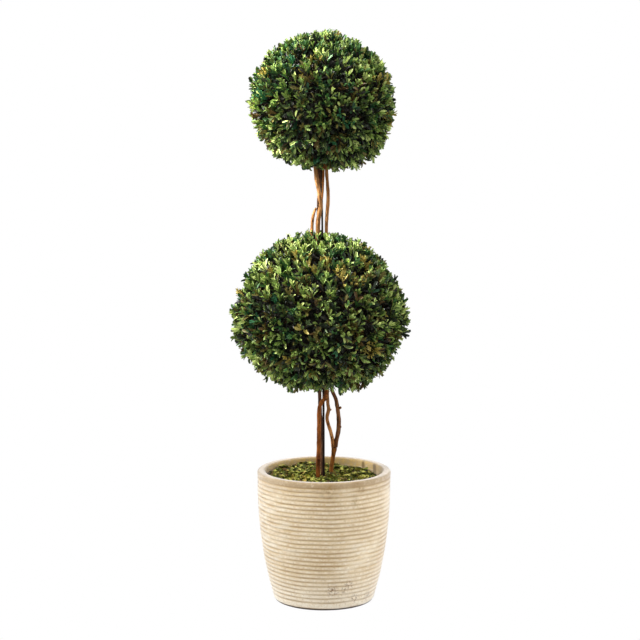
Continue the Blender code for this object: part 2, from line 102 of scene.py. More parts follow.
def add_piece(name, mesh, material, replaced=()):
    """Make a piece of the object that rides with the whole and stands for some solid parts."""
    mesh.materials.clear()
    mesh.materials.append(material)
    piece = bpy.data.objects.new(name, mesh)
    bpy.context.scene.collection.objects.link(piece)
    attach(piece, "root")
    if replaced:
        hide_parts(*replaced)
    print(name, len(mesh.polygons), "faces")


# %% [markdown]
# ## The pot's shape
# The real pot is thrown or cast clay with even ribs, about nine millimetres apart, between a plain rim and
# a plain foot. Its outline is one curve that flares from the foot and stands upright under the rim. A
# profile is drawn once, rib by rib, and spun about Z. Hand work isn't perfect, so the ribs then get
# shallower in worn patches and wander up and down by less than a millimetre, and the rim rises a little
# towards the back.

# %% Draw the pot's profile
POT_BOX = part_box("planter")
POT_HEIGHT = POT_BOX[1].z
RIM_RADIUS = POT_BOX[1].x
FOOT_RADIUS = 0.1060
FOOT_ROUNDING = 0.0040
SIDE_SWELL = 2.38
WALL = 0.014
RIM_WALL = 0.0175
RIM_WALL_POWER = 4
FLOOR = 0.018
RIM_ROUNDING = 0.0045
GROOVE_COUNT = 28
TOP_GROOVE = 0.2695
LOWEST_GROOVE = 0.0180
RIB_PITCH = (TOP_GROOVE - LOWEST_GROOVE) / (GROOVE_COUNT - 1)
GROOVE_DEPTH = 0.0018
RIB_STEPS = 8
# Below 1 the ribs are full and the grooves between them narrow
RIB_FULLNESS = 0.62
BAND_ROUNDING = 0.0030
CORNER_STEPS = 6
# Points up the plain foot, up the plain rim and down the inner wall
FOOT_POINTS = 4
RIM_POINTS = 3
INNER_POINTS = 12


def side_radius(height):
    """Radius of the pot's side at its ribs' crests."""
    share = min(1.0, max(0.0, 1.0 - height / POT_HEIGHT))
    return FOOT_RADIUS + (RIM_RADIUS - FOOT_RADIUS) * (1.0 - share ** SIDE_SWELL)


def inner_radius(height):
    """Radius of the smooth inner wall."""
    rise = height / POT_HEIGHT
    return side_radius(height) - WALL - (RIM_WALL - WALL) * rise ** RIM_WALL_POWER


def corner(centre_radius, centre_height, size, start, end):
    """Points of a rounded corner as (radius, height) pairs."""
    points = []
    for step in range(CORNER_STEPS + 1):
        angle = start + (end - start) * step / CORNER_STEPS
        points.append((centre_radius + size * math.cos(angle), centre_height + size * math.sin(angle)))
    return points


def pot_profile():
    """The pot's cut outline from the middle of its underside round to the middle of its floor."""
    quarter = math.pi / 2
    points = [(0.0, 0.0), (FOOT_RADIUS * 0.5, 0.0)]
    points += corner(FOOT_RADIUS - FOOT_ROUNDING, FOOT_ROUNDING, FOOT_ROUNDING, -quarter, 0.0)
    foot_heights = np.linspace(FOOT_ROUNDING * 1.5, LOWEST_GROOVE - BAND_ROUNDING, FOOT_POINTS)
    points += [(side_radius(height), height) for height in foot_heights]
    for rib in range(GROOVE_COUNT):
        for step in range(RIB_STEPS if rib < GROOVE_COUNT - 1 else 1):
            share = step / RIB_STEPS
            height = LOWEST_GROOVE + RIB_PITCH * (rib + share)
            depth = GROOVE_DEPTH * (1.0 - math.sin(math.pi * share) ** RIB_FULLNESS)
            points.append((side_radius(height) - depth, height))
    rim_corner = POT_HEIGHT - RIM_ROUNDING
    rim_heights = np.linspace(TOP_GROOVE + BAND_ROUNDING, rim_corner, RIM_POINTS)
    points += [(side_radius(height), height) for height in rim_heights[:-1]]
    points += corner(RIM_RADIUS - RIM_ROUNDING, rim_corner, RIM_ROUNDING, 0.0, quarter)
    points += corner(RIM_RADIUS - RIM_WALL + RIM_ROUNDING, rim_corner, RIM_ROUNDING, quarter, math.pi)
    inner_heights = np.linspace(rim_corner, FLOOR, INNER_POINTS)
    points += [(inner_radius(height), height) for height in inner_heights[1:]]
    return points + [(0.0, FLOOR)]


# %% Spin the profile and make it look hand made
POT_SEGMENTS = 160
# How far the ribs wander up and down and the side in and out, and waves of noise to the metre
RIB_WANDER = 0.0010
WANDER_WAVES = Vector((22.0, 22.0, 30.0))
SIDE_WOBBLE = 0.0005
WOBBLE_WAVES = 30.0
# How far the rim rises at the back, and from what height
BACK_RISE = 0.0022
BACK_RISE_START = 0.24
# Worn patches: their size, the noise at which wear sets in and is full, and the share of a groove left
WEAR_SIZE = 0.055
WEAR_SHIFT = Vector((3.0, 1.0, 7.0))
WEAR_RANGE = (0.10, 0.60)
LEAST_GROOVE = 0.50
# How unevenly deep the grooves are elsewhere
UNEVENNESS = 0.60
UNEVEN_WAVES = Vector((18.0, 18.0, 107.0))
# Two thumbed places below the middle on the right, each with its centre, half width and half height
SMEARS = (
    (Vector((0.086, -0.106, 0.122)), 0.020, 0.042),
    (Vector((0.060, -0.120, 0.100)), 0.032, 0.014),
)
# Shares of those half sizes at which a smear starts to fade and ends
SMEAR_FADE = (0.5, 1.1)


def spun(profile, segments):
    """Turn (radius, height) points about Z into a closed shell."""
    shape = bmesh.new()
    points = [shape.verts.new((radius, 0.0, height)) for radius, height in profile]
    edges = [shape.edges.new(pair) for pair in zip(points, points[1:])]
    bmesh.ops.spin(
        shape,
        geom=points + edges,
        axis=(0.0, 0.0, 1.0),
        cent=(0.0, 0.0, 0.0),
        angle=math.tau,
        steps=segments,
        use_merge=True,
    )
    bmesh.ops.remove_doubles(shape, verts=shape.verts, dist=MERGE_DISTANCE)
    return shape


def soft_step(value, low, high):
    """0 below low, 1 above high and smooth between."""
    share = min(1.0, max(0.0, (value - low) / (high - low)))
    return share * share * (3.0 - 2.0 * share)


def groove_share(place):
    """How deep the grooves are at a place, as a share of their full depth."""
    worn = soft_step(noise.noise(place / WEAR_SIZE + WEAR_SHIFT), *WEAR_RANGE)
    for centre, width, height in SMEARS:
        offset = place - centre
        reach = math.hypot(math.hypot(offset.x, offset.y) / width, offset.z / height)
        worn = max(worn, 1.0 - soft_step(reach, *SMEAR_FADE))
    uneven = 1.0 + UNEVENNESS * noise.noise(place * UNEVEN_WAVES)
    return uneven * (1.0 - worn * (1.0 - LEAST_GROOVE))


def weather_pot(shape):
    """Wear the ribs, let them wander, and note on each point how deep in a groove it lies."""
    groove_darkening = shape.verts.layers.float.new("groove")
    for point in shape.verts:
        radius = math.hypot(point.co.x, point.co.y)
        height = point.co.z
        upright = FOOT_ROUNDING < height < POT_HEIGHT - RIM_ROUNDING
        if upright and radius > side_radius(height) - WALL / 2:
            depth = side_radius(height) - radius
            share = groove_share(point.co)
            point[groove_darkening] = min(1.0, depth * share / GROOVE_DEPTH)
            wander = RIB_WANDER * noise.noise(point.co * WANDER_WAVES)
            wobble = SIDE_WOBBLE * noise.noise(point.co * WOBBLE_WAVES)
            scale = (side_radius(height) - depth * share + wobble) / radius
            point.co = Vector((point.co.x * scale, point.co.y * scale, height + wander))


def lift_back_rim(shape):
    """Raise the rim a little towards the back, as a hand-made rim is never level."""
    for point in shape.verts:
        rise = BACK_RISE * soft_step(point.co.z, BACK_RISE_START, POT_HEIGHT)
        point.co.z += rise * max(0.0, point.co.y / RIM_RADIUS)


pot_shape = spun(pot_profile(), POT_SEGMENTS)
weather_pot(pot_shape)
lift_back_rim(pot_shape)
pot_mesh = finish_mesh("planter", pot_shape)

# %% [markdown]
# ## Helpers for colours and patterns
# Colours are written as a screen shows them, from 0 to 255, and changed to the linear values that a shader
# works with. A pattern is a chain of nodes: places in the frame, noise of a real size in metres, a narrower
# range of that noise, and a mix of two colours by it. One short function for each link keeps a material
# easy to read.

# %% Colours, materials and nodes
def shown(*screen):
    """Linear colour of a screen colour from 0 to 255."""
    linear = []
    for value in screen:
        share = value / 255.0
        linear.append(share / 12.92 if share <= 0.04045 else ((share + 0.055) / 1.055) ** 2.4)
    return (*linear, 1.0)


def new_material(name, roughness, specular):
    """A Principled material, its node tree and its shader."""
    material = bpy.data.materials.new(name)
    material.use_nodes = True
    shader = material.node_tree.nodes["Principled BSDF"]
    shader.inputs["Roughness"].default_value = roughness
    shader.inputs["Specular IOR Level"].default_value = specular
    return material, material.node_tree, shader


def add_node(tree, kind, sockets, **properties):
    """Add a node, and give each socket a plain value or another node's output."""
    node = tree.nodes.new(kind)
    for key, value in properties.items():
        setattr(node, key, value)
    for socket, value in sockets.items():
        if isinstance(value, bpy.types.NodeSocket):
            tree.links.new(value, node.inputs[socket])
        else:
            node.inputs[socket].default_value = value
    return node


# %% Links of a pattern
def object_places(tree, upright=1.0):
    """Object coordinates, which are metres in the frame. A low upright share draws a pattern out along Z."""
    places = tree.nodes.new("ShaderNodeTexCoord").outputs["Object"]
    sockets = {"Vector": places, "Scale": (1.0, 1.0, upright)}
    return add_node(tree, "ShaderNodeMapping", sockets).outputs["Vector"]


def cloud(tree, places, size, detail, roughness=0.6):
    """Soft noise whose blots are about as large as size, from 0 to 1."""
    sockets = {"Vector": places, "Scale": 1.0 / size, "Detail": detail, "Roughness": roughness}
    return add_node(tree, "ShaderNodeTexNoise", sockets).outputs["Fac"]


def between(tree, value, low, high, to_low=0.0, to_high=1.0):
    """Spread a value that runs from low to high over another range, held inside it."""
    sockets = {"Value": value, "From Min": low, "From Max": high, "To Min": to_low, "To Max": to_high}
    return add_node(tree, "ShaderNodeMapRange", sockets).outputs["Result"]


def blend(tree, share, first, second):
    """Mix two colours, each a plain colour or another node's output."""
    return add_node(tree, "ShaderNodeMix", {0: share, 6: first, 7: second}, data_type="RGBA").outputs[2]


def calculate(tree, operation, first, second):
    """One step of arithmetic on two values."""
    return add_node(tree, "ShaderNodeMath", {0: first, 1: second}, operation=operation).outputs[0]


def cover(tree, shader, colour, height, distance, strength=1.0):
    """Give a shader its colour, and bump it by a height pattern of at most distance metres."""
    tree.links.new(colour, shader.inputs["Base Color"])
    bump = add_node(tree, "ShaderNodeBump", {"Height": height, "Distance": distance, "Strength": strength})
    tree.links.new(bump.outputs["Normal"], shader.inputs["Normal"])


def mottled_material(
    name, roughness, specular, grain, detail, spread, colours, depth, strength=1.0, upright=1.0
):
    """A finish of two screen colours mixed by one noise pattern, which also bumps it."""
    material, tree, shader = new_material(name, roughness, specular)
    pattern = cloud(tree, object_places(tree, upright), grain, detail)
    colour = blend(tree, between(tree, pattern, *spread), shown(*colours[0]), shown(*colours[1]))
    cover(tree, shader, colour, pattern, depth, strength)
    return material


# %% [markdown]
# ## The pot's finish
# The clay is cream with tan clouds and grey rings. Chalky wear whitens the thumbed places. The ribs' crests
# are paler with chalky wear and painted highlight, and the foot and a patch on the left are paler with
# painted light. The grooves, the rim band and the wall under the rim are browner, with a few stains and
# specks at the front. The inside is ochre, with stains and painted shade low at its sides near the moss and
# two drips at the back, and the foot ends in a dark line of painted contact shadow. The groove value stored
# on the mesh tells crests from grooves, so the crests pale and the grooves darken exactly along the ribs.
# The colours are laid one over the other like coats of paint, each broken up by noise. The sheen stands for
# the dust that whitens clay seen at a low angle.

# %% Colours and places on the clay
CREAM = shown(228, 208, 173)
TAN = shown(203, 177, 136)
DIRT = shown(164, 135, 92)
GREY = shown(188, 168, 138)
# Chalky wear, also the painted highlight on the crests and the painted light on the foot and the left
CHALK_AND_PAINTED_LIGHT = shown(240, 231, 213)
RIM_TAN = shown(173, 149, 114)
INNER_OCHRE = shown(228, 192, 104)
# Stains, also the painted shade low on the inner wall
STAIN_AND_SHADE = shown(150, 118, 66)
DRIP = shown(88, 62, 38)
SPECK = shown(112, 78, 42)
# Painted contact shadow along the foot's lowest edge
PAINTED_FOOT_SHADOW = shown(56, 38, 28)
# Heights, or radii for the inner wall, between which a coat sets in
UNDER_RIM = (0.238, 0.264)
# Painted light from the floor, paler towards the foot
PAINTED_FLOOR_LIGHT = (0.090, 0.030)
RIM_BAND = (0.2675, 0.2705)
INNER_RADII = (0.1285, 0.1245)
INSIDE_HEIGHTS = (0.200, 0.220)
# Heights over which the painted contact shadow darkens the foot
FOOT_SHADOW_HEIGHTS = (0.0050, 0.0034)
# Weight and roughness of the dusty sheen, and how far the drips run down
SHEEN = 1.0
SHEEN_ROUGHNESS = 0.4
DRIP_STRETCH = 0.30

# Places on the pot in the frame, each with the size of its blot
# Painted light on the left and at the foot, and chalky wear on the two thumbed places
CHALK_AND_LIGHT_PLACES = (
    ((-0.130, -0.070, 0.180), 0.130),
    ((0.086, -0.106, 0.120), 0.060),
    ((0.046, -0.125, 0.098), 0.045),
    ((0.060, -0.100, 0.015), 0.055),
)
STAIN_PLACES = (
    ((0.066, -0.126, 0.277), 0.016),
    ((0.077, -0.120, 0.264), 0.015),
    ((0.064, -0.125, 0.240), 0.012),
    ((0.008, -0.143, 0.272), 0.034),
)
SPECK_PLACES = (
    ((0.053, -0.112, 0.056), 0.014),
    ((0.017, -0.118, 0.046), 0.018),
    ((0.042, -0.114, 0.046), 0.010),
    ((0.065, -0.094, 0.023), 0.014),
    ((0.092, -0.066, 0.022), 0.014),
)
# Painted shade and stains on the inner wall, low near the moss on the right and the left
SHADE_AND_STAIN_PLACES = (((0.122, -0.004, 0.262), 0.085), ((-0.120, 0.020, 0.262), 0.050))
DRIP_PLACES = (
    ((0.110, 0.060, 0.270 * DRIP_STRETCH), 0.009),
    ((0.086, 0.091, 0.268 * DRIP_STRETCH), 0.006),
)


# %% Zones of the clay
def any_zone(tree, places, spots):
    """1 at the middle of any of several spots, fading to 0 at the edge of its blot."""
    total = 0.0
    for centre, size in spots:
        offset = add_node(tree, "ShaderNodeVectorMath", {0: places, 1: centre}, operation="DISTANCE")
        share = between(tree, offset.outputs["Value"], size, 0.0)
        total = calculate(tree, "MAXIMUM", total, share)
    return total


def broken(tree, share, pattern, low, high):
    """A zone whose edge and inside are broken up by a noise pattern."""
    return calculate(tree, "MULTIPLY", share, between(tree, pattern, low, high))


# %% Mix the clay
def clay_material():
    """Worn cream clay under its coats of wear, dirt, stains, painted light and painted shade."""
    material, tree, shader = new_material("worn_clay", roughness=0.74, specular=0.45)
    shader.inputs["Sheen Weight"].default_value = SHEEN
    shader.inputs["Sheen Roughness"].default_value = SHEEN_ROUGHNESS
    places = object_places(tree)
    height = add_node(tree, "ShaderNodeSeparateXYZ", {"Vector": places}).outputs["Z"]
    flat = add_node(tree, "ShaderNodeVectorMath", {0: object_places(tree, upright=0.0)}, operation="LENGTH")
    groove = add_node(tree, "ShaderNodeAttribute", {}, attribute_name="groove").outputs["Fac"]
    broad = cloud(tree, places, size=0.070, detail=3.0)
    fine = cloud(tree, places, size=0.008, detail=6.0, roughness=0.7)
    grit = cloud(tree, places, size=0.0035, detail=3.0)
    rings = cloud(tree, object_places(tree, upright=8.0), size=0.050, detail=5.0, roughness=0.7)
    # Darker in the grooves, by the groove value on the mesh
    groove_darkening = calculate(tree, "MULTIPLY", groove, between(tree, fine, 0.30, 0.60, 0.60, 1.0))
    inside = between(tree, flat.outputs["Value"], *INNER_RADII)
    inside = calculate(tree, "MULTIPLY", inside, between(tree, height, *INSIDE_HEIGHTS))
    shade_and_stain = any_zone(tree, places, SHADE_AND_STAIN_PLACES)
    drip = any_zone(tree, object_places(tree, upright=DRIP_STRETCH), DRIP_PLACES)
    coats = (
        (between(tree, broad, 0.38, 0.62, 0.15, 0.80), TAN),
        (between(tree, rings, 0.50, 0.72, 0.0, 0.7), GREY),
        # Paler crests: chalky wear and painted highlight
        (broken(tree, between(tree, groove, 0.35, 0.0), fine, 0.38, 0.72), CHALK_AND_PAINTED_LIGHT),
        (broken(tree, between(tree, height, *UNDER_RIM, 0.0, 0.6), rings, 0.30, 0.66), DIRT),
        # Painted floor light, paler towards the foot
        (broken(tree, between(tree, height, *PAINTED_FLOOR_LIGHT), fine, 0.10, 0.70), CHALK_AND_PAINTED_LIGHT),
        (broken(tree, between(tree, height, *RIM_BAND), fine, 0.80, 0.48), RIM_TAN),
        (groove_darkening, DIRT),
        (between(tree, grit, 0.56, 0.72, 0.0, 0.5), DIRT),
        # Painted light on the left and at the foot, and chalk on the thumbed places
        (broken(tree, any_zone(tree, places, CHALK_AND_LIGHT_PLACES), rings, 0.46, 0.66), CHALK_AND_PAINTED_LIGHT),
        (broken(tree, any_zone(tree, places, STAIN_PLACES), fine, 0.40, 0.60), STAIN_AND_SHADE),
        (broken(tree, any_zone(tree, places, SPECK_PLACES), grit, 0.46, 0.58), SPECK),
        (broken(tree, inside, fine, 0.70, 0.35), INNER_OCHRE),
        # Painted shade and stains low on the inner wall near the moss
        (broken(tree, inside, shade_and_stain, 0.0, 1.1), STAIN_AND_SHADE),
        (broken(tree, inside, drip, 0.0, 0.5), DRIP),
        # Painted contact shadow at the foot
        (between(tree, height, *FOOT_SHADOW_HEIGHTS), PAINTED_FOOT_SHADOW),
    )
    colour = CREAM
    for share, coat in coats:
        colour = blend(tree, share, colour, coat)
    cover(tree, shader, colour, fine, distance=0.0007, strength=0.6)
    return material


add_piece("planter_shell", pot_mesh, clay_material(), ["planter"])

# %% [markdown]
# ## The filling under the moss
# A set filling holds the stems. Only its solid part is kept, with a dark crumbly finish, because the moss
# covers it.

# %% Give the filling a finish
filling_finish = mottled_material(
    "crumbly_filling",
    roughness=0.95,
    specular=0.2,
    grain=0.004,
    detail=5.0,
    spread=(0.35, 0.65),
    colours=((46, 36, 28), (86, 70, 54)),
    depth=0.002,
)
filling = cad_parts["potting_fill"]
filling.data.materials.clear()
filling.data.materials.append(filling_finish)
print("filling", len(filling.data.polygons), "faces")

# %% [markdown]
# ## Leaf shapes
# A boxwood leaf is small, oval and leathery, here about seventeen by five millimetres, with a blunt tip and
# a fold along its midrib. It appears many thousands of times, so it has six faces: a grid of two by three
# squares, drawn together into a point at the stalk and rounded at the tip. The same leaf, at other sizes,
# lies in the litter on the moss.

# %% Make one leaf from a grid
# Half widths at four rows of points and how far along the leaf each lies, as shares of its width and length
LEAF_HALF_WIDTHS = (0.0, 0.34, 0.50, 0.30)
LEAF_ROW_SHARES = (0.0, 0.34, 0.70, 0.95)
LEAF_ROWS = 3
LEAF_TIP_ROUNDING = 0.06
# Fold and curl of each shape
LEAF_BENDS = {"leaf_flat": (0.14, 0.03), "leaf_folded": (0.40, 0.08), "leaf_curled": (0.24, 0.20)}


def leaf_mesh(name, fold, curl):
    """A leaf one unit long on +Y and one wide, its upper side facing +Z."""
    shape = bmesh.new()
    bmesh.ops.create_grid(shape, x_segments=2, y_segments=LEAF_ROWS, size=0.5)
    for point in shape.verts:
        row = round((point.co.y + 0.5) * LEAF_ROWS)
        aside = point.co.x * 2.0
        share = LEAF_ROW_SHARES[row]
        if row == LEAF_ROWS:
            share += LEAF_TIP_ROUNDING * (1.0 - abs(aside))
        rise = fold * abs(aside) * LEAF_HALF_WIDTHS[row] - curl * share * share
        point.co = Vector((aside * LEAF_HALF_WIDTHS[row], share, rise))
    return finish_mesh(name, shape, recalculate=False)


leaf_shapes = [leaf_mesh(name, *bends) for name, bends in LEAF_BENDS.items()]

# %% [markdown]
# ## Many copies as one mesh
# Thousands of separate objects would be slow. Each leaf and twig is a matrix that lays a small mesh in its
# place, and all the copies of one finish are worked out at once as arrays and joined into one mesh.

# %% Join many copies of a small mesh
def unit_arrays(mesh):
    """Points of a small mesh with a 1 added, its corners' point numbers, and where each face starts."""
    points = np.empty(len(mesh.vertices) * 3)
    mesh.vertices.foreach_get("co", points)
    corners = np.empty(len(mesh.loops), np.int32)
    mesh.loops.foreach_get("vertex_index", corners)
    starts = np.empty(len(mesh.polygons), np.int32)
    mesh.polygons.foreach_get("loop_start", starts)
    return np.c_[points.reshape(-1, 3), np.ones(len(mesh.vertices))], corners, starts


def joined_copies(name, placings):
    """One mesh that holds a copy of a small mesh for each (mesh, matrix) pair."""
    spots, corners, starts = [], [], []
    point_count = corner_count = 0
    for unit in sorted({mesh.name for mesh, _ in placings}):
        mesh = bpy.data.meshes[unit]
        matrices = np.array([matrix for own, matrix in placings if own.name == unit])
        points, unit_corners, unit_starts = unit_arrays(mesh)
        copies = np.arange(len(matrices))[:, None]
        spots.append(np.einsum("nij,kj->nki", matrices[:, :3], points).reshape(-1, 3))
        corners.append((unit_corners + copies * len(points) + point_count).ravel())
        starts.append((unit_starts + copies * len(unit_corners) + corner_count).ravel())
        point_count += len(matrices) * len(points)
        corner_count += len(matrices) * len(unit_corners)
    joined = bpy.data.meshes.new(name)
    joined.vertices.add(point_count)
    joined.vertices.foreach_set("co", np.concatenate(spots).ravel())
    joined.loops.add(corner_count)
    joined.loops.foreach_set("vertex_index", np.concatenate(corners))
    joined.polygons.add(sum(len(own) for own in starts))
    joined.polygons.foreach_set("loop_start", np.concatenate(starts))
    joined.update(calc_edges=True)
    joined.shade_smooth()
    return joined


def laid(place, *columns):
    """Matrix that lays a unit shape's X, Y and Z on three columns, with its root at a place."""
    matrix = Matrix(columns).transposed().to_4x4()
    matrix.translation = place
    return matrix


# %% [markdown]
# ## Stems
# The bare stems are several thin boxwood trunks that twist round a straight painted rod. Each follows a
# smooth curve through a few points that also give its thickness. A ring of edges is extruded from step to
# step along the curve, and its points are then moved in and out: long furrows, low swellings where leaves
# once grew, and fine wrinkles.

# %% Paths of the rod and the stems
# Levels at which stems end in the filling and in the balls, and the rod's top and radii
FILL_LEVEL = 0.203
LOWER_SOCKET = 0.489
LOWER_TOP_SOCKET = 0.752
UPPER_SOCKET = 0.957
ROD_TOP = 1.032
ROD_RADIUS = 0.0021
ROD_FOOT_RADIUS = 0.0024

# Points of each stem from its foot up: right, back, up and radius
STEMS = {
    "support_rod": (
        (-0.0006, 0.0, FILL_LEVEL, ROD_FOOT_RADIUS), (-0.0011, 0.0, 0.4300, ROD_FOOT_RADIUS),
        (-0.0037, 0.0, 0.8060, ROD_RADIUS), (-0.0080, 0.0, ROD_TOP, ROD_RADIUS),
    ),
    "left_stem": (
        (-0.0138, -0.0100, FILL_LEVEL, 0.0043), (-0.0130, -0.0100, 0.2620, 0.0044),
        (-0.0124, -0.0100, 0.3020, 0.0046), (-0.0112, -0.0105, 0.3360, 0.0043),
        (-0.0108, -0.0120, 0.3800, 0.0043), (-0.0100, -0.0135, 0.4150, 0.0043),
        (-0.0058, -0.0145, 0.4290, 0.0042), (0.0024, -0.0160, 0.4430, 0.0041),
        (0.0076, -0.0175, LOWER_SOCKET, 0.0038),
    ),
    "back_stem": (
        (-0.0034, 0.0145, FILL_LEVEL, 0.0033), (-0.0041, 0.0140, 0.3000, 0.0033),
        (-0.0047, 0.0130, 0.3560, 0.0033), (-0.0064, 0.0125, 0.3850, 0.0034),
        (-0.0078, 0.0120, 0.4040, 0.0037), (-0.0091, 0.0120, 0.4350, 0.0038),
        (-0.0098, 0.0120, LOWER_SOCKET, 0.0036),
    ),
    "fork_stem": (
        (0.0128, 0.0310, FILL_LEVEL, 0.0046), (0.0149, 0.0300, 0.2640, 0.0043),
        (0.0184, 0.0280, 0.2950, 0.0044), (0.0214, 0.0250, 0.3160, 0.0050),
        (0.0223, 0.0247, 0.3236, 0.0061),
    ),
    "fork_left_limb": (
        (0.0189, 0.0245, 0.3252, 0.0032), (0.0188, 0.0240, 0.3310, 0.0034),
        (0.0180, 0.0218, 0.3440, 0.0039), (0.0141, 0.0155, 0.3620, 0.0037),
        (0.0066, 0.0085, 0.3900, 0.0037), (0.0098, 0.0080, 0.4110, 0.0039),
        (0.0080, 0.0080, 0.4300, 0.0034), (0.0070, 0.0085, LOWER_SOCKET, 0.0030),
    ),
    "fork_right_limb": (
        (0.0259, 0.0248, 0.3252, 0.0032), (0.0263, 0.0245, 0.3310, 0.0038),
        (0.0275, 0.0235, 0.3440, 0.0045), (0.0304, 0.0220, 0.3580, 0.0048),
        (0.0318, 0.0200, 0.3740, 0.0048), (0.0311, 0.0165, 0.3960, 0.0044),
        (0.0258, 0.0100, 0.4310, 0.0041), (0.0172, 0.0060, 0.4540, 0.0037),
        (0.0138, 0.0040, LOWER_SOCKET, 0.0034),
    ),
    "curved_upper_stem": (
        (-0.0127, -0.0100, LOWER_TOP_SOCKET, 0.0044), (-0.0127, -0.0100, 0.8080, 0.0046),
        (-0.0103, -0.0100, 0.8290, 0.0045), (-0.0071, -0.0100, 0.8500, 0.0039),
        (-0.0096, -0.0100, 0.8680, 0.0038), (-0.0112, -0.0100, 0.8810, 0.0041),
        (-0.0159, -0.0100, 0.9060, 0.0043), (-0.0205, -0.0100, UPPER_SOCKET, 0.0042),
    ),
    "back_upper_stem": (
        (-0.0120, 0.0085, LOWER_TOP_SOCKET, 0.0024), (-0.0128, 0.0085, 0.8475, 0.0024),
        (-0.0092, 0.0085, 0.8880, 0.0028), (-0.0104, 0.0080, 0.9080, 0.0038),
        (-0.0110, 0.0080, UPPER_SOCKET, 0.0041),
    ),
    "right_upper_stem": (
        (0.0054, 0.0020, LOWER_TOP_SOCKET, 0.0035), (0.0052, 0.0020, 0.8100, 0.0035),
        (0.0086, 0.0020, 0.8600, 0.0037), (0.0074, 0.0020, 0.8910, 0.0034),
        (0.0055, 0.0020, 0.9160, 0.0035), (0.0050, 0.0020, UPPER_SOCKET, 0.0035),
    ),
    "thin_upper_shoot": (
        (-0.0040, -0.0152, 0.8600, 0.0016), (-0.0034, -0.0144, 0.8700, 0.0019),
        (-0.0024, -0.0136, 0.8850, 0.0021), (-0.0018, -0.0130, 0.9060, 0.0026),
        (-0.0004, -0.0130, UPPER_SOCKET, 0.0027),
    ),
    "side_shoot": (
        (-0.0270, 0.0060, LOWER_TOP_SOCKET, 0.0032), (-0.0256, 0.0060, 0.7960, 0.0032),
        (-0.0240, 0.0068, 0.8180, 0.0032), (-0.0212, 0.0078, 0.8325, 0.0029),
        (-0.0166, 0.0085, 0.8425, 0.0023),
    ),
}


def curve_point(before, start, end, after, share):
    """Point of the smooth curve between start and end that heads for its neighbours."""
    slope_in = (end - before) / 2
    slope_out = (after - start) / 2
    square = share ** 2
    cube = share ** 3
    return (
        start * (2 * cube - 3 * square + 1)
        + slope_in * (cube - 2 * square + share)
        + end * (3 * square - 2 * cube)
        + slope_out * (cube - square)
    )


def smooth_path(controls, spacing):
    """Even (place, radius) pairs along the curve through a stem's points."""
    spots = [Vector(control) for control in controls]
    spots = [spots[0] * 2 - spots[1]] + spots + [spots[-1] * 2 - spots[-2]]
    path = []
    for before, start, end, after in zip(spots, spots[1:], spots[2:], spots[3:]):
        pieces = max(1, round((end - start).length / spacing))
        path += [curve_point(before, start, end, after, piece / pieces) for piece in range(pieces)]
    path.append(spots[-2])
    return [(spot.to_3d(), spot.w) for spot in path]


# %% Extrude a ring along a path
STEM_STEP = 0.0016
ROD_STEP = 0.012
STEM_SIDES = 20
ROD_SIDES = 28


def ring_matrices(path):
    """For each point of a path, the matrix that lays a unit circle square to it without twisting."""
    turn = Matrix.Identity(3)
    heading = Vector((0.0, 0.0, 1.0))
    matrices = []
    for index, (place, radius) in enumerate(path):
        before = path[max(index - 1, 0)][0]
        after = path[min(index + 1, len(path) - 1)][0]
        new_heading = (after - before).normalized()
        turn = heading.rotation_difference(new_heading).to_matrix() @ turn
        heading = new_heading
        matrix = (turn * radius).to_4x4()
        matrix.translation = place
        matrices.append(matrix)
    return matrices


def tube(path, sides):
    """A closed tube along a path of (place, radius) pairs."""
    shape = bmesh.new()
    matrices = ring_matrices(path)
    ring = bmesh.ops.create_circle(shape, cap_ends=True, segments=sides, radius=1.0)["verts"]
    bmesh.ops.transform(shape, matrix=matrices[0], verts=ring)
    edges = list({edge for point in ring for edge in point.link_edges})
    for last, matrix in zip(matrices, matrices[1:]):
        grown = bmesh.ops.extrude_edge_only(shape, edges=edges)["geom"]
        ring = [item for item in grown if isinstance(item, bmesh.types.BMVert)]
        edges = [item for item in grown if isinstance(item, bmesh.types.BMEdge)]
        bmesh.ops.transform(shape, matrix=matrix @ last.inverted(), verts=ring)
    bmesh.ops.contextual_create(shape, geom=edges)
    bmesh.ops.recalc_face_normals(shape, faces=shape.faces)
    return shape


# %% Carve the bark
FURROW_SIZE = Vector((0.0022, 0.0022, 0.014))
FURROW_DEPTH = 0.00030
WRINKLE_SIZE = 0.0016
WRINKLE_DEPTH = 0.00010
SWELLING_SPACING = 0.031
SWELLING_RISE = 0.09
SWELLING_SHARPNESS = 14
# How far each stem's swellings are shifted against the last stem's, as a share of their spacing
SWELLING_SHIFT = 0.37


def bark_height(place, seed):
    """How far the bark stands out at a place: long furrows and fine wrinkles."""
    along = Vector([place[axis] / FURROW_SIZE[axis] for axis in range(3)]) + Vector((seed, seed, 0.0))
    furrow = noise.noise(along) * FURROW_DEPTH
    wrinkle = noise.noise(place / WRINKLE_SIZE + Vector((0.0, seed, 0.0))) * WRINKLE_DEPTH
    return furrow + wrinkle


def swelling(height, seed):
    """Low rings where pairs of leaves once grew."""
    phase = math.pi * (height / SWELLING_SPACING + seed * SWELLING_SHIFT)
    return SWELLING_RISE * abs(math.cos(phase)) ** SWELLING_SHARPNESS


def carve_bark(shape, radius, seed):
    """Move a stem's points out and in, each along its normal."""
    shape.normal_update()
    moves = []
    for point in shape.verts:
        out = bark_height(point.co, seed) + radius * swelling(point.co.z, seed)
        moves.append(point.normal * out)
    for point, move in zip(shape.verts, moves):
        point.co += move


paths = {}
for stem, controls in STEMS.items():
    paths[stem] = smooth_path(controls, ROD_STEP if stem == "support_rod" else STEM_STEP)

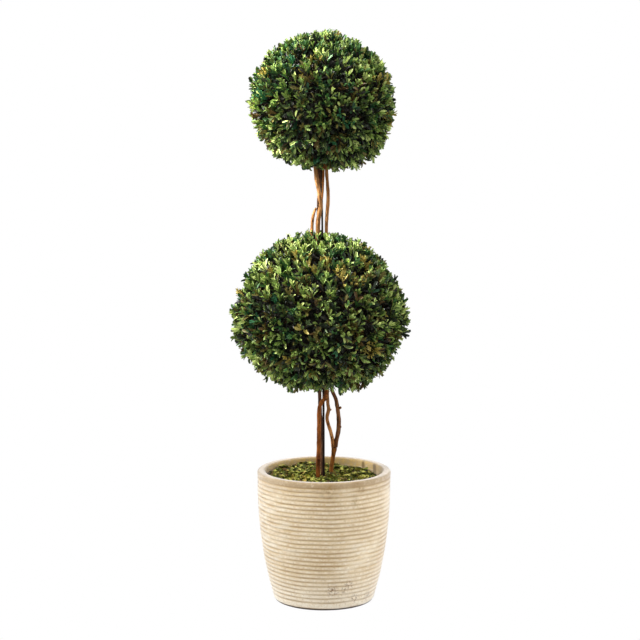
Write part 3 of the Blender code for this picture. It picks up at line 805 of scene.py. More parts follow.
# %% [markdown]
# ## Bark and paint
# Dried boxwood bark runs from pale orange-brown to nearly black. Each stem mixes a light and a middle brown
# in blots, with a dark one in long streaks. One fair stem between the balls pales upwards with painted light
# and darkens again just under the upper ball with painted shade of the leaves. The rod is painted black,
# nearly matt, with faint dusty marks.

# %% Mix the barks and the rod's paint
# Screen colours of each bark's light and middle wood and its dark streaks
BARK_COLOURS = {
    "orange_bark": ((145, 84, 37), (106, 57, 25), (48, 25, 12)),
    "golden_bark": ((200, 143, 89), (158, 105, 58), (78, 48, 27)),
    "red_bark": ((146, 92, 42), (107, 63, 28), (50, 28, 14)),
    "umber_bark": ((174, 124, 77), (136, 90, 50), (66, 41, 23)),
    "fair_bark": ((236, 176, 114), (138, 96, 56), (112, 74, 44)),
    "tan_bark": ((130, 88, 56), (96, 60, 36), (50, 30, 17)),
    "dark_bark": ((116, 82, 60), (80, 54, 40), (42, 28, 21)),
}
# Heights between which a bark's painted light and shade change, and how much darker it is below and above
# them
PAINTED_LIGHT_RAMPS = {"fair_bark": ((0.825, 0.895, 0.09, -0.10), (0.893, 0.918, 0.0, 0.38))}
# Bark and colour slot of each stem
STEM_BARKS = {
    "left_stem": ("orange_bark", "pale_bark"),
    "back_stem": ("dark_bark", "dark_bark"),
    "fork_stem": ("red_bark", "brown_bark"),
    "fork_left_limb": ("golden_bark", "brown_bark"),
    "fork_right_limb": ("tan_bark", "brown_bark"),
    "curved_upper_stem": ("fair_bark", "pale_bark"),
    "back_upper_stem": ("dark_bark", "dark_bark"),
    "right_upper_stem": ("umber_bark", "brown_bark"),
    "thin_upper_shoot": ("red_bark", "brown_bark"),
    "side_shoot": ("golden_bark", "dark_bark"),
}


def bark_material(name, light, middle, dark):
    """Blots of two browns under long dark streaks, with painted light and shade by height where a bark has
    them.
    """
    material, tree, shader = new_material(name, roughness=0.75, specular=0.06)
    streaks = cloud(tree, object_places(tree, upright=0.16), size=0.0050, detail=5.0, roughness=0.65)
    blots = cloud(tree, object_places(tree, upright=0.45), size=0.020, detail=3.0)
    height = add_node(tree, "ShaderNodeSeparateXYZ", {"Vector": object_places(tree)}).outputs["Z"]
    for ramp in PAINTED_LIGHT_RAMPS.get(name, ()):
        blots = calculate(tree, "ADD", blots, between(tree, height, *ramp))
    colour = blend(tree, between(tree, blots, 0.42, 0.60), shown(*light), shown(*middle))
    colour = blend(tree, between(tree, streaks, 0.48, 0.64, 0.0, 0.9), colour, shown(*dark))
    cover(tree, shader, colour, streaks, distance=0.0007, strength=0.7)
    return material


barks = {name: bark_material(name, *colours) for name, colours in BARK_COLOURS.items()}
rod_paint = mottled_material(
    "rod_paint",
    roughness=0.7,
    specular=0.05,
    grain=0.010,
    detail=6.0,
    spread=(0.55, 0.75, 0.0, 0.5),
    colours=((34, 25, 21), (70, 52, 42)),
    depth=0.0002,
    strength=0.4,
    upright=0.3,
)

# %% [markdown]
# ## Cut stubs
# Where twigs were pruned, short stubs with rounded ends stand out of the stems. Each is a short tube joined
# into its stem's mesh, so the bark is carved over both.

# %% Join the stubs to the stems
# Axis point, tip and radius of each stub where a twig was cut off
STUBS = {
    "left_stem": [((-0.0122, -0.0120, 0.3086), (-0.0080, -0.0150, 0.3090), 0.0026)],
    "fork_stem": [((0.0226, 0.0246, 0.3220), (0.0237, 0.0240, 0.3450), 0.0021)],
    "fork_left_limb": [((0.0098, 0.0080, 0.4085), (0.0162, 0.0065, 0.4115), 0.0024)],
    "fork_right_limb": [
        ((0.0290, 0.0130, 0.4105), (0.0376, 0.0130, 0.4150), 0.0029),
        ((0.0318, 0.0200, 0.3705), (0.0376, 0.0185, 0.3715), 0.0027),
    ],
}
# Share of a stub's length and of its radius at each ring
STUB_OUTLINE = ((0.0, 1.0), (0.6, 1.0), (0.85, 0.85), (0.96, 0.55), (1.0, 0.2))
STUB_SIDES = 12


def add_stubs(shape, stem):
    """Join a stem's cut stubs into its mesh."""
    for axis_point, tip, radius in STUBS.get(stem, ()):
        root = Vector(axis_point)
        path = [(root.lerp(Vector(tip), share), radius * size) for share, size in STUB_OUTLINE]
        stub = tube(path, STUB_SIDES)
        mesh = bpy.data.meshes.new("stub")
        stub.to_mesh(mesh)
        stub.free()
        shape.from_mesh(mesh)
        bpy.data.meshes.remove(mesh)


# %% Build the rod and the stems
rod_mesh = finish_mesh("rod", tube(paths["support_rod"], ROD_SIDES))
add_piece("rod", rod_mesh, rod_paint, ["support_rod"])
for seed, (stem, (bark, slot)) in enumerate(STEM_BARKS.items()):
    stem_shape = tube(paths[stem], STEM_SIDES)
    add_stubs(stem_shape, stem)
    carve_bark(stem_shape, paths[stem][0][1], seed)
    add_piece(stem + "_bark", finish_mesh(stem, stem_shape), barks[bark], [stem])

# %% [markdown]
# ## Moss and leaf litter
# Inside the rim lies a low mound of moss under loose dried leaves, higher at the back and the left. The
# mound is a disc of rings raised by noise. Small leaves are then scattered over it and sorted by colour, so
# that each colour is one joined piece with a plain finish. Dark leaves are dealt out more often at the back
# and the sides as painted shade, where less light falls.

# %% Raise the mound
FILL_TOP = 0.237
MOSS_TOP = 0.2645
MOSS_WALL_GAP = 0.0003
MOSS_RADIUS = RIM_RADIUS - RIM_WALL - MOSS_WALL_GAP
# Rise to the metre towards the right and towards the back
MOSS_SLOPE = Vector((-0.035, 0.050))
MOSS_LUMP = 0.007
MOSS_LUMP_SIZE = 0.030
MOSS_RINGS = 40
MOSS_SEGMENTS = 120
MOSS_EDGE_DROP = 0.005
MOSS_EDGE_POWER = 4
CRUMB_RISE = 0.0022
CRUMB_SIZE = 0.0065


def moss_height(x, y):
    """Height of the mound over a spot of the pot's mouth."""
    lump = MOSS_LUMP * noise.noise(Vector((x, y, 0.0)) / MOSS_LUMP_SIZE)
    edge_drop = MOSS_EDGE_DROP * (math.hypot(x, y) / MOSS_RADIUS) ** MOSS_EDGE_POWER
    return MOSS_TOP + MOSS_SLOPE.dot(Vector((x, y))) + lump - edge_drop


def moss_mound():
    """A flat disc of rings over the filling, its upper side raised into a mound."""
    profile = [(0.0, FILL_TOP), (MOSS_RADIUS, FILL_TOP)]
    profile += [(MOSS_RADIUS * ring / MOSS_RINGS, MOSS_TOP) for ring in range(MOSS_RINGS, -1, -1)]
    shape = spun(profile, MOSS_SEGMENTS)
    for point in shape.verts:
        if point.co.z > FILL_TOP + MERGE_DISTANCE:
            crumb = CRUMB_RISE * noise.noise(point.co / CRUMB_SIZE)
            point.co.z = moss_height(point.co.x, point.co.y) - CRUMB_RISE + crumb
    return finish_mesh("moss_mound", shape)


def moss_material():
    """Brown and green patches under paler tufts."""
    material, tree, shader = new_material("matted_moss", roughness=0.9, specular=0.2)
    places = object_places(tree)
    tufts = cloud(tree, places, size=0.006, detail=6.0, roughness=0.7)
    broad = cloud(tree, places, size=0.030, detail=2.0)
    colour = blend(tree, between(tree, broad, 0.40, 0.60), shown(58, 60, 22), shown(44, 36, 18))
    colour = blend(tree, between(tree, tufts, 0.52, 0.70), colour, shown(104, 104, 34))
    cover(tree, shader, colour, tufts, distance=0.003)
    return material


add_piece("moss_mound", moss_mound(), moss_material(), ["moss_layer"])

# %% Scatter the litter
LITTER_COUNT = 4400
LITTER_LENGTHS = (0.007, 0.0175)
LITTER_WIDTHS = (0.38, 0.62)
LITTER_TILT = 0.45
# Most height over the mound, and a power above 1 that keeps most leaves low
LITTER_LIFT = 0.0045
LITTER_LIFT_POWER = 1.5
# Room that a leaf's middle keeps from the wall and from the stems, as shares of its length
WALL_ROOM = 0.55
STEM_ROOM = 0.3
LITTER_STEM_GAP = 0.0012
# Turns of the leaves' headings in one round of the pot, and their lean
HEADING_TURNS = 7.0
HEADING_LEAN = 0.3
# How much more often dark leaves lie at the back than in front as painted shade, and what the sides count
# against the back
GLOOM = 1.8
SIDE_GLOOM = 0.6
GLOOMY_LITTER = ("litter_dark", "litter_brown")
# Screen colour and share of each kind of dried leaf
LITTER = {
    "litter_lime": ((198, 196, 96), 0.28),
    "litter_green": ((130, 140, 54), 0.28),
    "litter_moss": ((88, 100, 40), 0.18),
    "litter_dark": ((42, 50, 24), 0.09),
    "litter_gold": ((192, 170, 90), 0.08),
    "litter_brown": ((106, 82, 44), 0.08),
}


def stem_distance(place):
    """Distance from a place to the surface of the nearest stem or the rod."""
    gaps = []
    for path in paths.values():
        centre, radius = min(path, key=lambda ring: (ring[0] - place).length_squared)
        gaps.append((centre - place).length - radius)
    return min(gaps)


def litter_colour(x, y, rng):
    """Draw the colour of a leaf that lies over a spot of the pot's mouth."""
    gloom = 1.0 + GLOOM * max(0.0, (y + SIDE_GLOOM * abs(x)) / MOSS_RADIUS)
    weights = [share * (gloom if name in GLOOMY_LITTER else 1.0) for name, (_, share) in LITTER.items()]
    return rng.choices(list(LITTER), weights)[0]


def scatter_litter():
    """Loose leaves over the mound, as (mesh, matrix) pairs for each colour."""
    rng = random.Random(5)
    heaps = {name: [] for name in LITTER}
    for _ in range(LITTER_COUNT):
        length = rng.uniform(*LITTER_LENGTHS)
        radius = (MOSS_RADIUS - length * WALL_ROOM) * math.sqrt(rng.random())
        angle = rng.uniform(0.0, math.tau)
        x, y = radius * math.cos(angle), radius * math.sin(angle)
        normal = Vector((rng.gauss(0.0, LITTER_TILT), rng.gauss(0.0, LITTER_TILT), 1.0)).normalized()
        turn = angle * HEADING_TURNS
        along = normal.cross(Vector((math.cos(turn), math.sin(turn), HEADING_LEAN))).normalized()
        lift = LITTER_LIFT * rng.random() ** LITTER_LIFT_POWER
        middle = Vector((x, y, moss_height(x, y) + lift))
        width = length * rng.uniform(*LITTER_WIDTHS)
        name = litter_colour(x, y, rng)
        leaf = rng.choice(leaf_shapes)
        if stem_distance(middle) > LITTER_STEM_GAP + length * STEM_ROOM:
            root = middle - along * length * 0.5
            matrix = laid(root, along.cross(normal) * width, along * length, normal * length)
            heaps[name].append((leaf, matrix))
    return heaps


def plain_material(name, screen, roughness, specular):
    """One screen colour all over."""
    material, _, shader = new_material(name, roughness, specular)
    shader.inputs["Base Color"].default_value = shown(*screen)
    return material


for heap, placings in scatter_litter().items():
    litter_finish = plain_material(heap, LITTER[heap][0], roughness=0.7, specular=0.3)
    add_piece(heap, joined_copies(heap, placings), litter_finish)

# %% [markdown]
# ## Foliage
# Each ball is dried sprigs of boxwood set so close that they make one clipped surface. The rule is the same
# as in the solid parts: directions spread evenly over a ball, a twig along each one from inside the core,
# and leaves round its end that stay inside the ball's reach. Here there are nearly three thousand sprigs.
# Sprigs in a tuft grow from one short bough, and each carries six pairs of leaves, every pair turned by a
# right angle from the last, opening wider with age. Each dent and bulge of the clipping is a direction, a
# rise and a breadth. A few sprigs stray a little out of the clipped outline, and each ball is bare at its
# foot, where the stems come in.

# %% Directions and tufts
GOLDEN_ANGLE = math.pi * (3.0 - math.sqrt(5.0))
# Uneven places: direction, rise and breadth as shares of the reach. Clumps: shares of the half width to the
# right and of the half height up at which sprigs of one family stand together on the front. Bare foot:
# middle and half width across, and the height up to which no leaf's tip stands.
BALLS = (
    {
        "name": "lower",
        "node": "lower_foliage_ball",
        "centre": Vector((-0.0085, 0.0, 0.6180)),
        "reach": Vector((0.195, 0.195, 0.177)),
        "uneven": (
            ((-0.95, 0.0, 0.31), -0.095, 0.24), ((-0.82, 0.0, 0.57), -0.022, 0.25),
            ((-0.22, 0.0, 0.97), 0.045, 0.20), ((0.71, 0.0, 0.71), -0.024, 0.20),
            ((0.91, 0.0, 0.42), -0.066, 0.28), ((0.87, 0.0, -0.48), -0.045, 0.22),
            ((0.42, 0.0, -0.91), 0.060, 0.22), ((-0.06, -0.10, -0.99), -0.070, 0.27),
        ),
        "clumps": {
            "gold": ((-0.08, 0.66), (0.06, 0.66), (0.24, 0.58), (0.42, 0.60), (0.50, -0.32)),
            "lime": (
                (-0.26, 0.84), (-0.42, 0.76), (-0.74, 0.54), (-0.58, 0.62),
                (0.92, 0.02), (-0.92, 0.0), (-0.50, -0.64), (-0.66, -0.46),
            ),
            "fresh": ((0.10, 0.84), (0.30, 0.80), (-0.30, 0.64), (0.80, 0.14), (-0.10, 0.80)),
            "blue": ((-0.40, 0.26), (-0.72, 0.08), (0.22, -0.38), (-0.50, -0.34)),
            "brown": ((0.40, -0.16), (-0.60, -0.12)),
        },
        "bare_foot": (0.0130, 0.019, 0.4620),
        "greenness": -0.15,
        "sprigs": 1700,
        "tufts": 480,
        "seed": 11,
    },
    {
        "name": "upper",
        "node": "upper_foliage_ball",
        "centre": Vector((-0.0045, 0.0, 1.0660)),
        "reach": Vector((0.159, 0.159, 0.150)),
        "uneven": (
            ((0.63, 0.0, -0.78), 0.090, 0.36), ((0.57, 0.0, 0.82), -0.037, 0.20),
            ((0.25, 0.0, 0.97), 0.045, 0.20), ((0.87, 0.0, 0.50), -0.030, 0.18),
            ((-0.98, 0.0, 0.17), -0.032, 0.14), ((-0.94, 0.0, -0.34), -0.032, 0.14),
            ((-0.50, 0.0, -0.87), -0.035, 0.18),
        ),
        "clumps": {
            "gold": ((-0.72, 0.40), (-0.12, 0.58), (0.80, 0.28), (0.86, -0.22)),
            "brown": ((-0.66, -0.14), (-0.28, -0.08), (-0.72, -0.50)),
            "blue": ((-0.46, 0.56), (-0.82, 0.10), (0.32, -0.22), (-0.02, -0.72), (0.10, -0.60)),
            "lime": ((-0.92, -0.08), (0.18, 0.12), (0.88, -0.40), (-0.30, 0.24)),
        },
        "bare_foot": (-0.0040, 0.020, 0.9230),
        "greenness": 0.35,
        "sprigs": 1150,
        "tufts": 330,
        "seed": 7,
    },
)
DIRECTION_SHAKE = 0.035
TUFT_SHAKE = 0.030


def even_directions(count, shake, rng):
    """Unit directions spread evenly over a ball from its top to its foot, each shaken a little."""
    directions = []
    for index in range(count):
        height = 1.0 - 2.0 * (index + 0.5) / count
        turn = GOLDEN_ANGLE * index
        ring = math.sqrt(1.0 - height * height)
        shift = Vector([rng.gauss(0.0, shake) for _ in range(3)])
        direction = Vector((ring * math.cos(turn), ring * math.sin(turn), height))
        directions.append((direction + shift).normalized())
    return directions


def clipped_share(direction, ball):
    """How far out a ball was clipped in a unit direction, as a share of its reach."""
    share = 1.0
    for way, rise, breadth in ball["uneven"]:
        share += rise * math.exp(-(direction - Vector(way)).length_squared / breadth ** 2)
    return share


def stretched(direction, ball):
    """A unit direction drawn out to the ball's clipped face."""
    share = clipped_share(direction, ball)
    return Vector([direction[axis] * ball["reach"][axis] * share for axis in range(3)])


def across(direction):
    """A unit vector square to a direction."""
    reference = Vector((1.0, 0.0, 0.0)) if abs(direction.z) > 0.9 else Vector((0.0, 0.0, 1.0))
    return direction.cross(reference).normalized()


# %% Grow the sprigs of a ball
# Shares of the reach: the core, and where boughs start inside it and end outside it
CORE_SHARE = 0.70
BOUGH_START_SHARE = 0.60
BOUGH_END_SHARE = 0.74
BOUGH_RADIUS = 0.0022
TWIG_RADIUS = 0.0011
SPRIG_RADIUS = 0.0006
# Mean depth of a sprig's last bud below the clipped face, and how much it varies
BUD_DEPTH = 0.0190
BUD_DEPTH_SPREAD = 0.0034
# Share of sprigs that stand out, by how much, and how far their leaves may stray, as a share of the reach
STRAGGLER_SHARE = 0.12
STRAGGLER_RISES = (0.0030, 0.0095)
STRAY_SHARE = 0.030
# How much whole tufts and broad lumps stand out or in
TUFT_RISE = 0.0038
LUMP_RISE = 0.0030
LUMP_SIZE = 0.035
# How far the sprigs of a tuft draw together, and how much they fan out from its middle
TUFT_PULL = 0.28
TUFT_FAN = 1.6
SPRIG_LEAN = 0.20
# Sprigs sweep up, most at the top, and down near the foot of a ball
SWEEP = 1.10
SWEEP_SHIFT = 0.40
# Leaf pairs from the bud down: distance below it, degrees off the twig, and size
LEAF_PAIRS = (
    (0.0, 10.0, 0.80),
    (0.0040, 20.0, 0.96),
    (0.0088, 29.0, 1.02),
    (0.0138, 37.0, 1.02),
    (0.0190, 43.0, 0.98),
    (0.0244, 47.0, 0.92),
)
SPRIG_LENGTH = LEAF_PAIRS[-1][0]
ANGLE_SPREAD = 10.0
TURN_SPREAD = 0.45
LEAF_LENGTH = 0.0195
LEAF_WIDTH_SHARE = 0.31
LEAF_LENGTHS = (0.78, 1.14)
SPRIG_SIZES = (0.84, 1.12)
LEAF_ROLL = 0.55
# Room between leaves and stems, and which share of a stem's rings is enough to test it
STEM_MARGIN = 0.0012
RING_SKIP = 3


def inside_reach(point, ball, stray):
    """True when a point lies inside a ball's clipped outline, or strays out of it by a small share."""
    offset = point - ball["centre"]
    way = Vector([offset[axis] / ball["reach"][axis] for axis in range(3)])
    return way.length <= clipped_share(way.normalized(), ball) + stray


def stem_cores():
    """Places and radii of every stem's rings as arrays, for quick distance tests."""
    rings = [ring for path in paths.values() for ring in path[::RING_SKIP]]
    return np.array([tuple(place) for place, _ in rings]), np.array([radius for _, radius in rings])


ring_places, ring_radii = stem_cores()


def clear_of_stems(place):
    """True when a place is outside every stem with a little room."""
    gaps = np.linalg.norm(ring_places - np.array(place), axis=1) - ring_radii
    return gaps.min() > STEM_MARGIN


def on_foot(place, ball):
    """True for a place low at the stems, where the ball is bare."""
    middle, half_width, height = ball["bare_foot"]
    return place.z < height and abs(place.x - middle) < half_width


def sprig_leaves(bud, axis, size, rng):
    """Pair number, tip and matrix of each leaf of one sprig."""
    side = Matrix.Rotation(rng.uniform(0.0, math.tau), 3, axis) @ across(axis)
    leaves = []
    for pair, (drop, degrees, share) in enumerate(LEAF_PAIRS):
        root = bud - axis * drop * size
        for half in range(2):
            turn = math.pi / 2 * pair + math.pi * half + rng.gauss(0.0, TURN_SPREAD)
            away = Matrix.Rotation(turn, 3, axis) @ side
            lean = math.radians(degrees + rng.gauss(0.0, ANGLE_SPREAD))
            along = axis * math.cos(lean) + away * math.sin(lean)
            normal = axis * math.sin(lean) - away * math.cos(lean)
            normal = Matrix.Rotation(rng.gauss(0.0, LEAF_ROLL), 3, along) @ normal
            length = LEAF_LENGTH * size * share * rng.uniform(*LEAF_LENGTHS)
            side_column = along.cross(normal) * (length * LEAF_WIDTH_SHARE)
            matrix = laid(root, side_column, along * length, normal * length)
            leaves.append((pair, root + along * length, matrix))
    return leaves


# %% [markdown]
# ## Colours of the leaves
# The dried leaves are dyed and mixed: deep, middle and yellow greens, a few blue-greens, olives and golds.
# Neighbours on one sprig are alike, so a sprig draws one family. Families come in patches and small clumps.
# Greens gather towards the top left, and olive, brown and deep ones towards the foot and the right, which is
# partly painted shade on each ball's darker side. The youngest leaves at a sprig's end take the family's
# lighter tone, and the oldest, deep in the sprig, take a tone of painted shade. Each tone is one plain
# material.

# %% Leaf tones
# Screen colour of each tone
TONES = {
    # Painted shade for the oldest leaves, deep among the others
    "shade": (50, 49, 45),
    "deep": (41, 52, 36),
    "bottle": (36, 71, 45),
    "middle": (76, 95, 50),
    "green": (68, 108, 56),
    "fresh": (142, 167, 86),
    "lime": (197, 213, 127),
    "blue": (54, 110, 72),
    "olive": (110, 103, 52),
    "gold": (166, 152, 76),
    "brown": (102, 80, 44),
}
# Share of each family, and the tones of its old and its young leaves
FAMILIES = {
    "deep": (0.25, "deep", "middle"),
    "bottle": (0.10, "bottle", "green"),
    "middle": (0.18, "middle", "fresh"),
    "green": (0.12, "green", "fresh"),
    "fresh": (0.13, "fresh", "lime"),
    "olive": (0.14, "olive", "fresh"),
    "brown": (0.07, "brown", "olive"),
    "gold": (0.02, "gold", "gold"),
    "blue": (0.0, "blue", "blue"),
    "lime": (0.0, "lime", "lime"),
}
# Size of a family's patches, how strongly they show, and the shift of the noise from one family to the next
PATCH_SIZE = 0.045
PATCH_PULL = 2.2
PATCH_SHIFT = 9.0
# Pairs that count as young, and the first pair of old leaves painted in the shade tone, as they lie in the
# shade of the others
YOUNG_PAIRS = 2
PAINTED_SHADE_PAIR = 4
# Share of leaves that differ from their sprig, and the tones that these take
ODD_LEAF_SHARE = 0.24
ODD_TONES = ("deep", "middle", "green", "fresh", "lime", "olive")
# Breadth of a clump as a share of the half width, and the share of its sprigs that belong to its family
CLUMP_BREADTH = 0.09
CLUMP_SHARE = 0.65
# Families that gather near a ball's top and near its foot, how strongly, and what left counts against up;
# the pull of the foot families to the foot and the right is partly painted shade
TOP_FAMILIES = ("green", "bottle")
FOOT_AND_SHADE_FAMILIES = ("olive", "brown", "deep")
GATHERING = 1.2
LEFTWARD = 0.4


def family_of(place, ball, rng):
    """A sprig's colour family: a clump's, or chance that is pulled the same way as for its neighbours."""
    offset = place - ball["centre"]
    right, up = offset.x / ball["reach"].x, offset.z / ball["reach"].z
    chance = rng.random()
    for family, spots in ball["clumps"].items():
        miss = min(math.hypot(right - spot[0], up - spot[1]) for spot in spots)
        if offset.y < 0.0 and chance < CLUMP_SHARE * math.exp(-(miss / CLUMP_BREADTH) ** 4):
            return family
    weights = []
    pull = ball["greenness"] + GATHERING * (up - LEFTWARD * right)
    for number, (family, (share, _, _)) in enumerate(FAMILIES.items()):
        patch = noise.noise(place / PATCH_SIZE + Vector((0.0, 0.0, PATCH_SHIFT * number)))
        side = (family in TOP_FAMILIES) - (family in FOOT_AND_SHADE_FAMILIES)
        weights.append(share * math.exp(PATCH_PULL * patch + pull * side))
    return rng.choices(list(FAMILIES), weights)[0]


# %% [markdown]
# ## Twigs and growth
# Under the leaves the wood is seen only in slits, so a twig is a cone of three sides. A sprig gets its tuft
# first, then the depth of its bud, its lean and size, its family of colours, and last its leaves. Only
# leaves that stand inside the clipped outline and clear of the stems are kept.

# %% Twigs with three sides
TWIG_TAPER = 0.62


def twig_unit():
    """A three-sided twig one unit thick and long, up +Z from its root."""
    shape = bmesh.new()
    bmesh.ops.create_cone(shape, cap_ends=False, segments=3, radius1=1.0, radius2=TWIG_TAPER, depth=1.0)
    bmesh.ops.translate(shape, verts=shape.verts, vec=(0.0, 0.0, 0.5))
    return finish_mesh("twig_unit", shape)


twig = twig_unit()


def twig_matrix(start, end, radius):
    """Matrix that lays the twig from one place to another."""
    along = end - start
    side = across(along.normalized())
    return laid(start, side * radius, along.normalized().cross(side) * radius, along)


# %% Grow both balls
def grow_boughs(ball, tufts):
    """A short bough for each tuft that is clear of the stems, as (mesh, matrix) pairs."""
    boughs = []
    for direction in tufts:
        spoke = stretched(direction, ball)
        start = ball["centre"] + spoke * BOUGH_START_SHARE
        end = ball["centre"] + spoke * BOUGH_END_SHARE
        if clear_of_stems(start) and clear_of_stems(end):
            boughs.append((twig, twig_matrix(start, end, BOUGH_RADIUS)))
    return boughs


def leaf_tone(family, pair, rng):
    """Tone of a leaf by its family and its pair, or now and then an odd one; old pairs take the painted
    shade tone.
    """
    tone = family[2] if pair < YOUNG_PAIRS else family[1]
    if rng.random() < ODD_LEAF_SHARE:
        tone = rng.choice(ODD_TONES)
    return "shade" if pair >= PAINTED_SHADE_PAIR else tone


def grow_ball(ball):
    """All leaves of a ball by tone, and its twigs and boughs, as (mesh, matrix) pairs."""
    rng = random.Random(ball["seed"])
    tufts = even_directions(ball["tufts"], TUFT_SHAKE, rng)
    tuft_table = np.array([tuple(direction) for direction in tufts])
    leaves = {tone: [] for tone in TONES}
    wood = grow_boughs(ball, tufts)
    tuft_rises = [rng.gauss(0.0, TUFT_RISE) for _ in tufts]
    for direction in even_directions(ball["sprigs"], DIRECTION_SHAKE, rng):
        number = int(np.argmax(tuft_table @ np.array(direction)))
        tuft = tufts[number]
        spoke = stretched(direction.lerp(tuft, TUFT_PULL).normalized(), ball)
        outward = spoke.normalized()
        lump = LUMP_RISE * noise.noise(spoke / LUMP_SIZE + Vector((ball["seed"], 0.0, 0.0)))
        depth = BUD_DEPTH + rng.gauss(0.0, BUD_DEPTH_SPREAD) - lump - tuft_rises[number]
        stray = 0.0
        if rng.random() < STRAGGLER_SHARE:
            depth -= rng.uniform(*STRAGGLER_RISES)
            stray = STRAY_SHARE
        bud = ball["centre"] + spoke - outward * depth
        fork = ball["centre"] + stretched(tuft, ball) * BOUGH_END_SHARE
        lean = Vector([rng.gauss(0.0, SPRIG_LEAN) for _ in range(3)])
        lean.z += SWEEP * (direction.z + SWEEP_SHIFT)
        axis = (outward + (direction - tuft) * TUFT_FAN + lean).normalized()
        size = rng.uniform(*SPRIG_SIZES)
        family = FAMILIES[family_of(bud, ball, rng)]
        if not clear_of_stems(bud):
            continue
        knee = bud - axis * SPRIG_LENGTH * size
        wood.append((twig, twig_matrix(knee, bud, SPRIG_RADIUS)))
        wood.append((twig, twig_matrix(fork, knee, TWIG_RADIUS)))
        for pair, tip, matrix in sprig_leaves(bud, axis, size, rng):
            tone = leaf_tone(family, pair, rng)
            if inside_reach(tip, ball, stray) and clear_of_stems(tip) and not on_foot(tip, ball):
                leaves[tone].append((rng.choice(leaf_shapes), matrix))
    return leaves, wood


twig_finish = plain_material("twig_bark", (92, 66, 40), roughness=0.8, specular=0.2)
leaf_finishes = {}
for tone, colour in TONES.items():
    leaf_finishes[tone] = plain_material("leaf_" + tone, colour, roughness=0.42, specular=0.3)
for ball in BALLS:
    ball_leaves, ball_wood = grow_ball(ball)
    for tone, placings in ball_leaves.items():
        name = f"{ball['name']}_leaves_{tone}"
        add_piece(name, joined_copies(name, placings), leaf_finishes[tone])
    name = f"{ball['name']}_twigs"
    add_piece(name, joined_copies(name, ball_wood), twig_finish)

# %% [markdown]
# ## The cores
# Between the leaves one sees into the dark. A lumpy ball inside closes the view and holds the boughs'
# roots. It is an icosphere pushed in and out by noise, and its greyish near black is painted shade.

# %% Build the dark cores
CORE_LUMP = 0.03
CORE_LUMPS_PER_RADIUS = 5.0
CORE_SUBDIVISIONS = 5

# Painted shade: the greyish near black seen in the deep gaps
core_painted_shade = mottled_material(
    "shaded_core",
    roughness=0.95,
    specular=0.1,
    grain=0.008,
    detail=4.0,
    spread=(0.40, 0.60),
    colours=((32, 32, 28), (54, 52, 42)),
    depth=0.004,
)
for ball in BALLS:
    shape = bmesh.new()
    bmesh.ops.create_icosphere(shape, subdivisions=CORE_SUBDIVISIONS, radius=1.0)
    shift = Vector((ball["seed"], 0.0, 0.0))
    for point in shape.verts:
        lump = 1.0 + CORE_LUMP * noise.noise(point.co * CORE_LUMPS_PER_RADIUS + shift)
        point.co = ball["centre"] + stretched(point.co.normalized(), ball) * CORE_SHARE * lump
    name = f"{ball['name']}_core"
    add_piece(name, finish_mesh(name, shape), core_painted_shade, [ball["node"]])

# %% [markdown]
# ## Light and floor
# The plant was shot in a white tent: light comes from all round and above, and least from the dark side
# where the camera stands, so edges are pale and the middle is deeper. The sky is one slope of light that
# grows towards above and behind, with bright walls far left and right. A broad key lamp high on the left
# and a narrower one below it pick out the tops and the left of the balls and the stems, and a very weak one
# lights the front of the pot. Where the camera looks past the plant, sky and floor are plain white, as in
# the picture.

# %% Build the studio
FLOOR_RADIUS = 40.0
FLOOR_SEGMENTS = 64
FLOOR_WHITE = 0.80
# A hair's breadth under the pot, so the two never lie in one plane
FLOOR_HEIGHT = -0.0003
SKY_BRIGHT_WAY = Vector((-0.13, 0.80, 0.60)).normalized()
SKY_DIM = 0.02
SKY_BRIGHT = 1.00
# Where along the bright way the slope is full
SKY_FULL = 0.13
# Strength of the bright side walls, and how narrow they are
SKY_SIDES = 3.90
SKY_SIDE_POWER = 8.0
WHITE = (1.0, 1.0, 1.0, 1.0)
# Place, target, size, spread in degrees, watts and tint of each lamp
LAMPS = {
    "key_lamp": ((-1.35, -0.45, 2.75), (0.0, 0.0, 1.38), 0.5, 44.0, 6.0, (1.0, 0.98, 0.93)),
    "left_lamp": ((-2.0, -0.3, 2.05), (0.0, 0.0, 0.93), 0.5, 26.0, 3.4, (1.0, 0.98, 0.93)),
    "pot_lamp": ((0.15, -2.20, 2.60), (0.0, 0.0, 0.22), 0.4, 12.0, 0.03, (1.0, 0.98, 0.94)),
}


def camera_share(tree):
    """1 for what the camera sees directly and 0 for light that falls on the plant."""
    return add_node(tree, "ShaderNodeLightPath", {}).outputs["Is Camera Ray"]


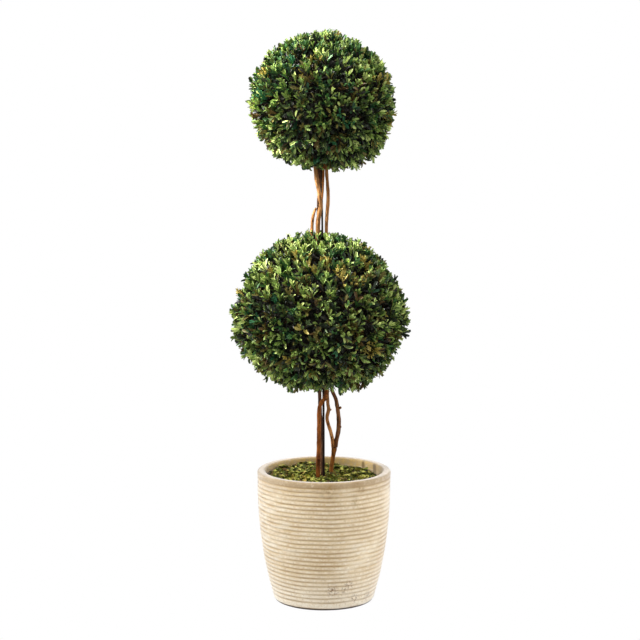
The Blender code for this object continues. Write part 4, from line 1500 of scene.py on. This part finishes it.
def pale_floor():
    """A wide white disc that glows pure white to the camera."""
    shape = bmesh.new()
    bmesh.ops.create_circle(shape, cap_ends=True, segments=FLOOR_SEGMENTS, radius=FLOOR_RADIUS)
    mesh = finish_mesh("studio_floor", shape, recalculate=False)
    material, tree, shader = new_material("studio_white", roughness=0.9, specular=0.1)
    shader.inputs["Base Color"].default_value = (FLOOR_WHITE, FLOOR_WHITE, FLOOR_WHITE, 1.0)
    glow = add_node(tree, "ShaderNodeEmission", {})
    sockets = {0: camera_share(tree), 1: shader.outputs[0], 2: glow.outputs[0]}
    mixed = add_node(tree, "ShaderNodeMixShader", sockets)
    tree.links.new(mixed.outputs[0], tree.nodes["Material Output"].inputs["Surface"])
    mesh.materials.append(material)
    floor = bpy.data.objects.new("studio_floor", mesh)
    floor.location.z = FLOOR_HEIGHT
    bpy.context.scene.collection.objects.link(floor)


def soft_lamp(name, place, target, size, spread, power, tint):
    """A round lamp that throws a soft beam at a target and isn't seen itself."""
    lamp = bpy.data.lights.new(name, "AREA")
    lamp.shape = "DISK"
    lamp.size = size
    lamp.spread = math.radians(spread)
    lamp.energy = power
    lamp.color = tint
    holder = bpy.data.objects.new(name, lamp)
    holder.location = place
    holder.rotation_euler = (Vector(target) - Vector(place)).to_track_quat("-Z", "Y").to_euler()
    holder.visible_camera = False
    bpy.context.scene.collection.objects.link(holder)


def studio_sky():
    """Light that grows towards one way and at both sides."""
    world = bpy.data.worlds.new("studio_sky")
    world.use_nodes = True
    tree = world.node_tree
    way = add_node(tree, "ShaderNodeTexCoord", {}).outputs["Generated"]
    slope = add_node(tree, "ShaderNodeVectorMath", {0: way, 1: SKY_BRIGHT_WAY}, operation="DOT_PRODUCT")
    level = between(tree, slope.outputs["Value"], -1.0, SKY_FULL, SKY_DIM, SKY_BRIGHT)
    sideways = add_node(tree, "ShaderNodeSeparateXYZ", {"Vector": way}).outputs["X"]
    sides = calculate(tree, "POWER", calculate(tree, "ABSOLUTE", sideways, 0.0), SKY_SIDE_POWER)
    level = calculate(tree, "ADD", level, calculate(tree, "MULTIPLY", sides, SKY_SIDES))
    seen = blend(tree, camera_share(tree), level, WHITE)
    tree.links.new(seen, tree.nodes["Background"].inputs["Color"])
    bpy.context.scene.world = world


pale_floor()
studio_sky()
for name, settings in LAMPS.items():
    soft_lamp(name, *settings)
bpy.context.scene.view_settings.view_transform = "Standard"
print("lamps", list(LAMPS))
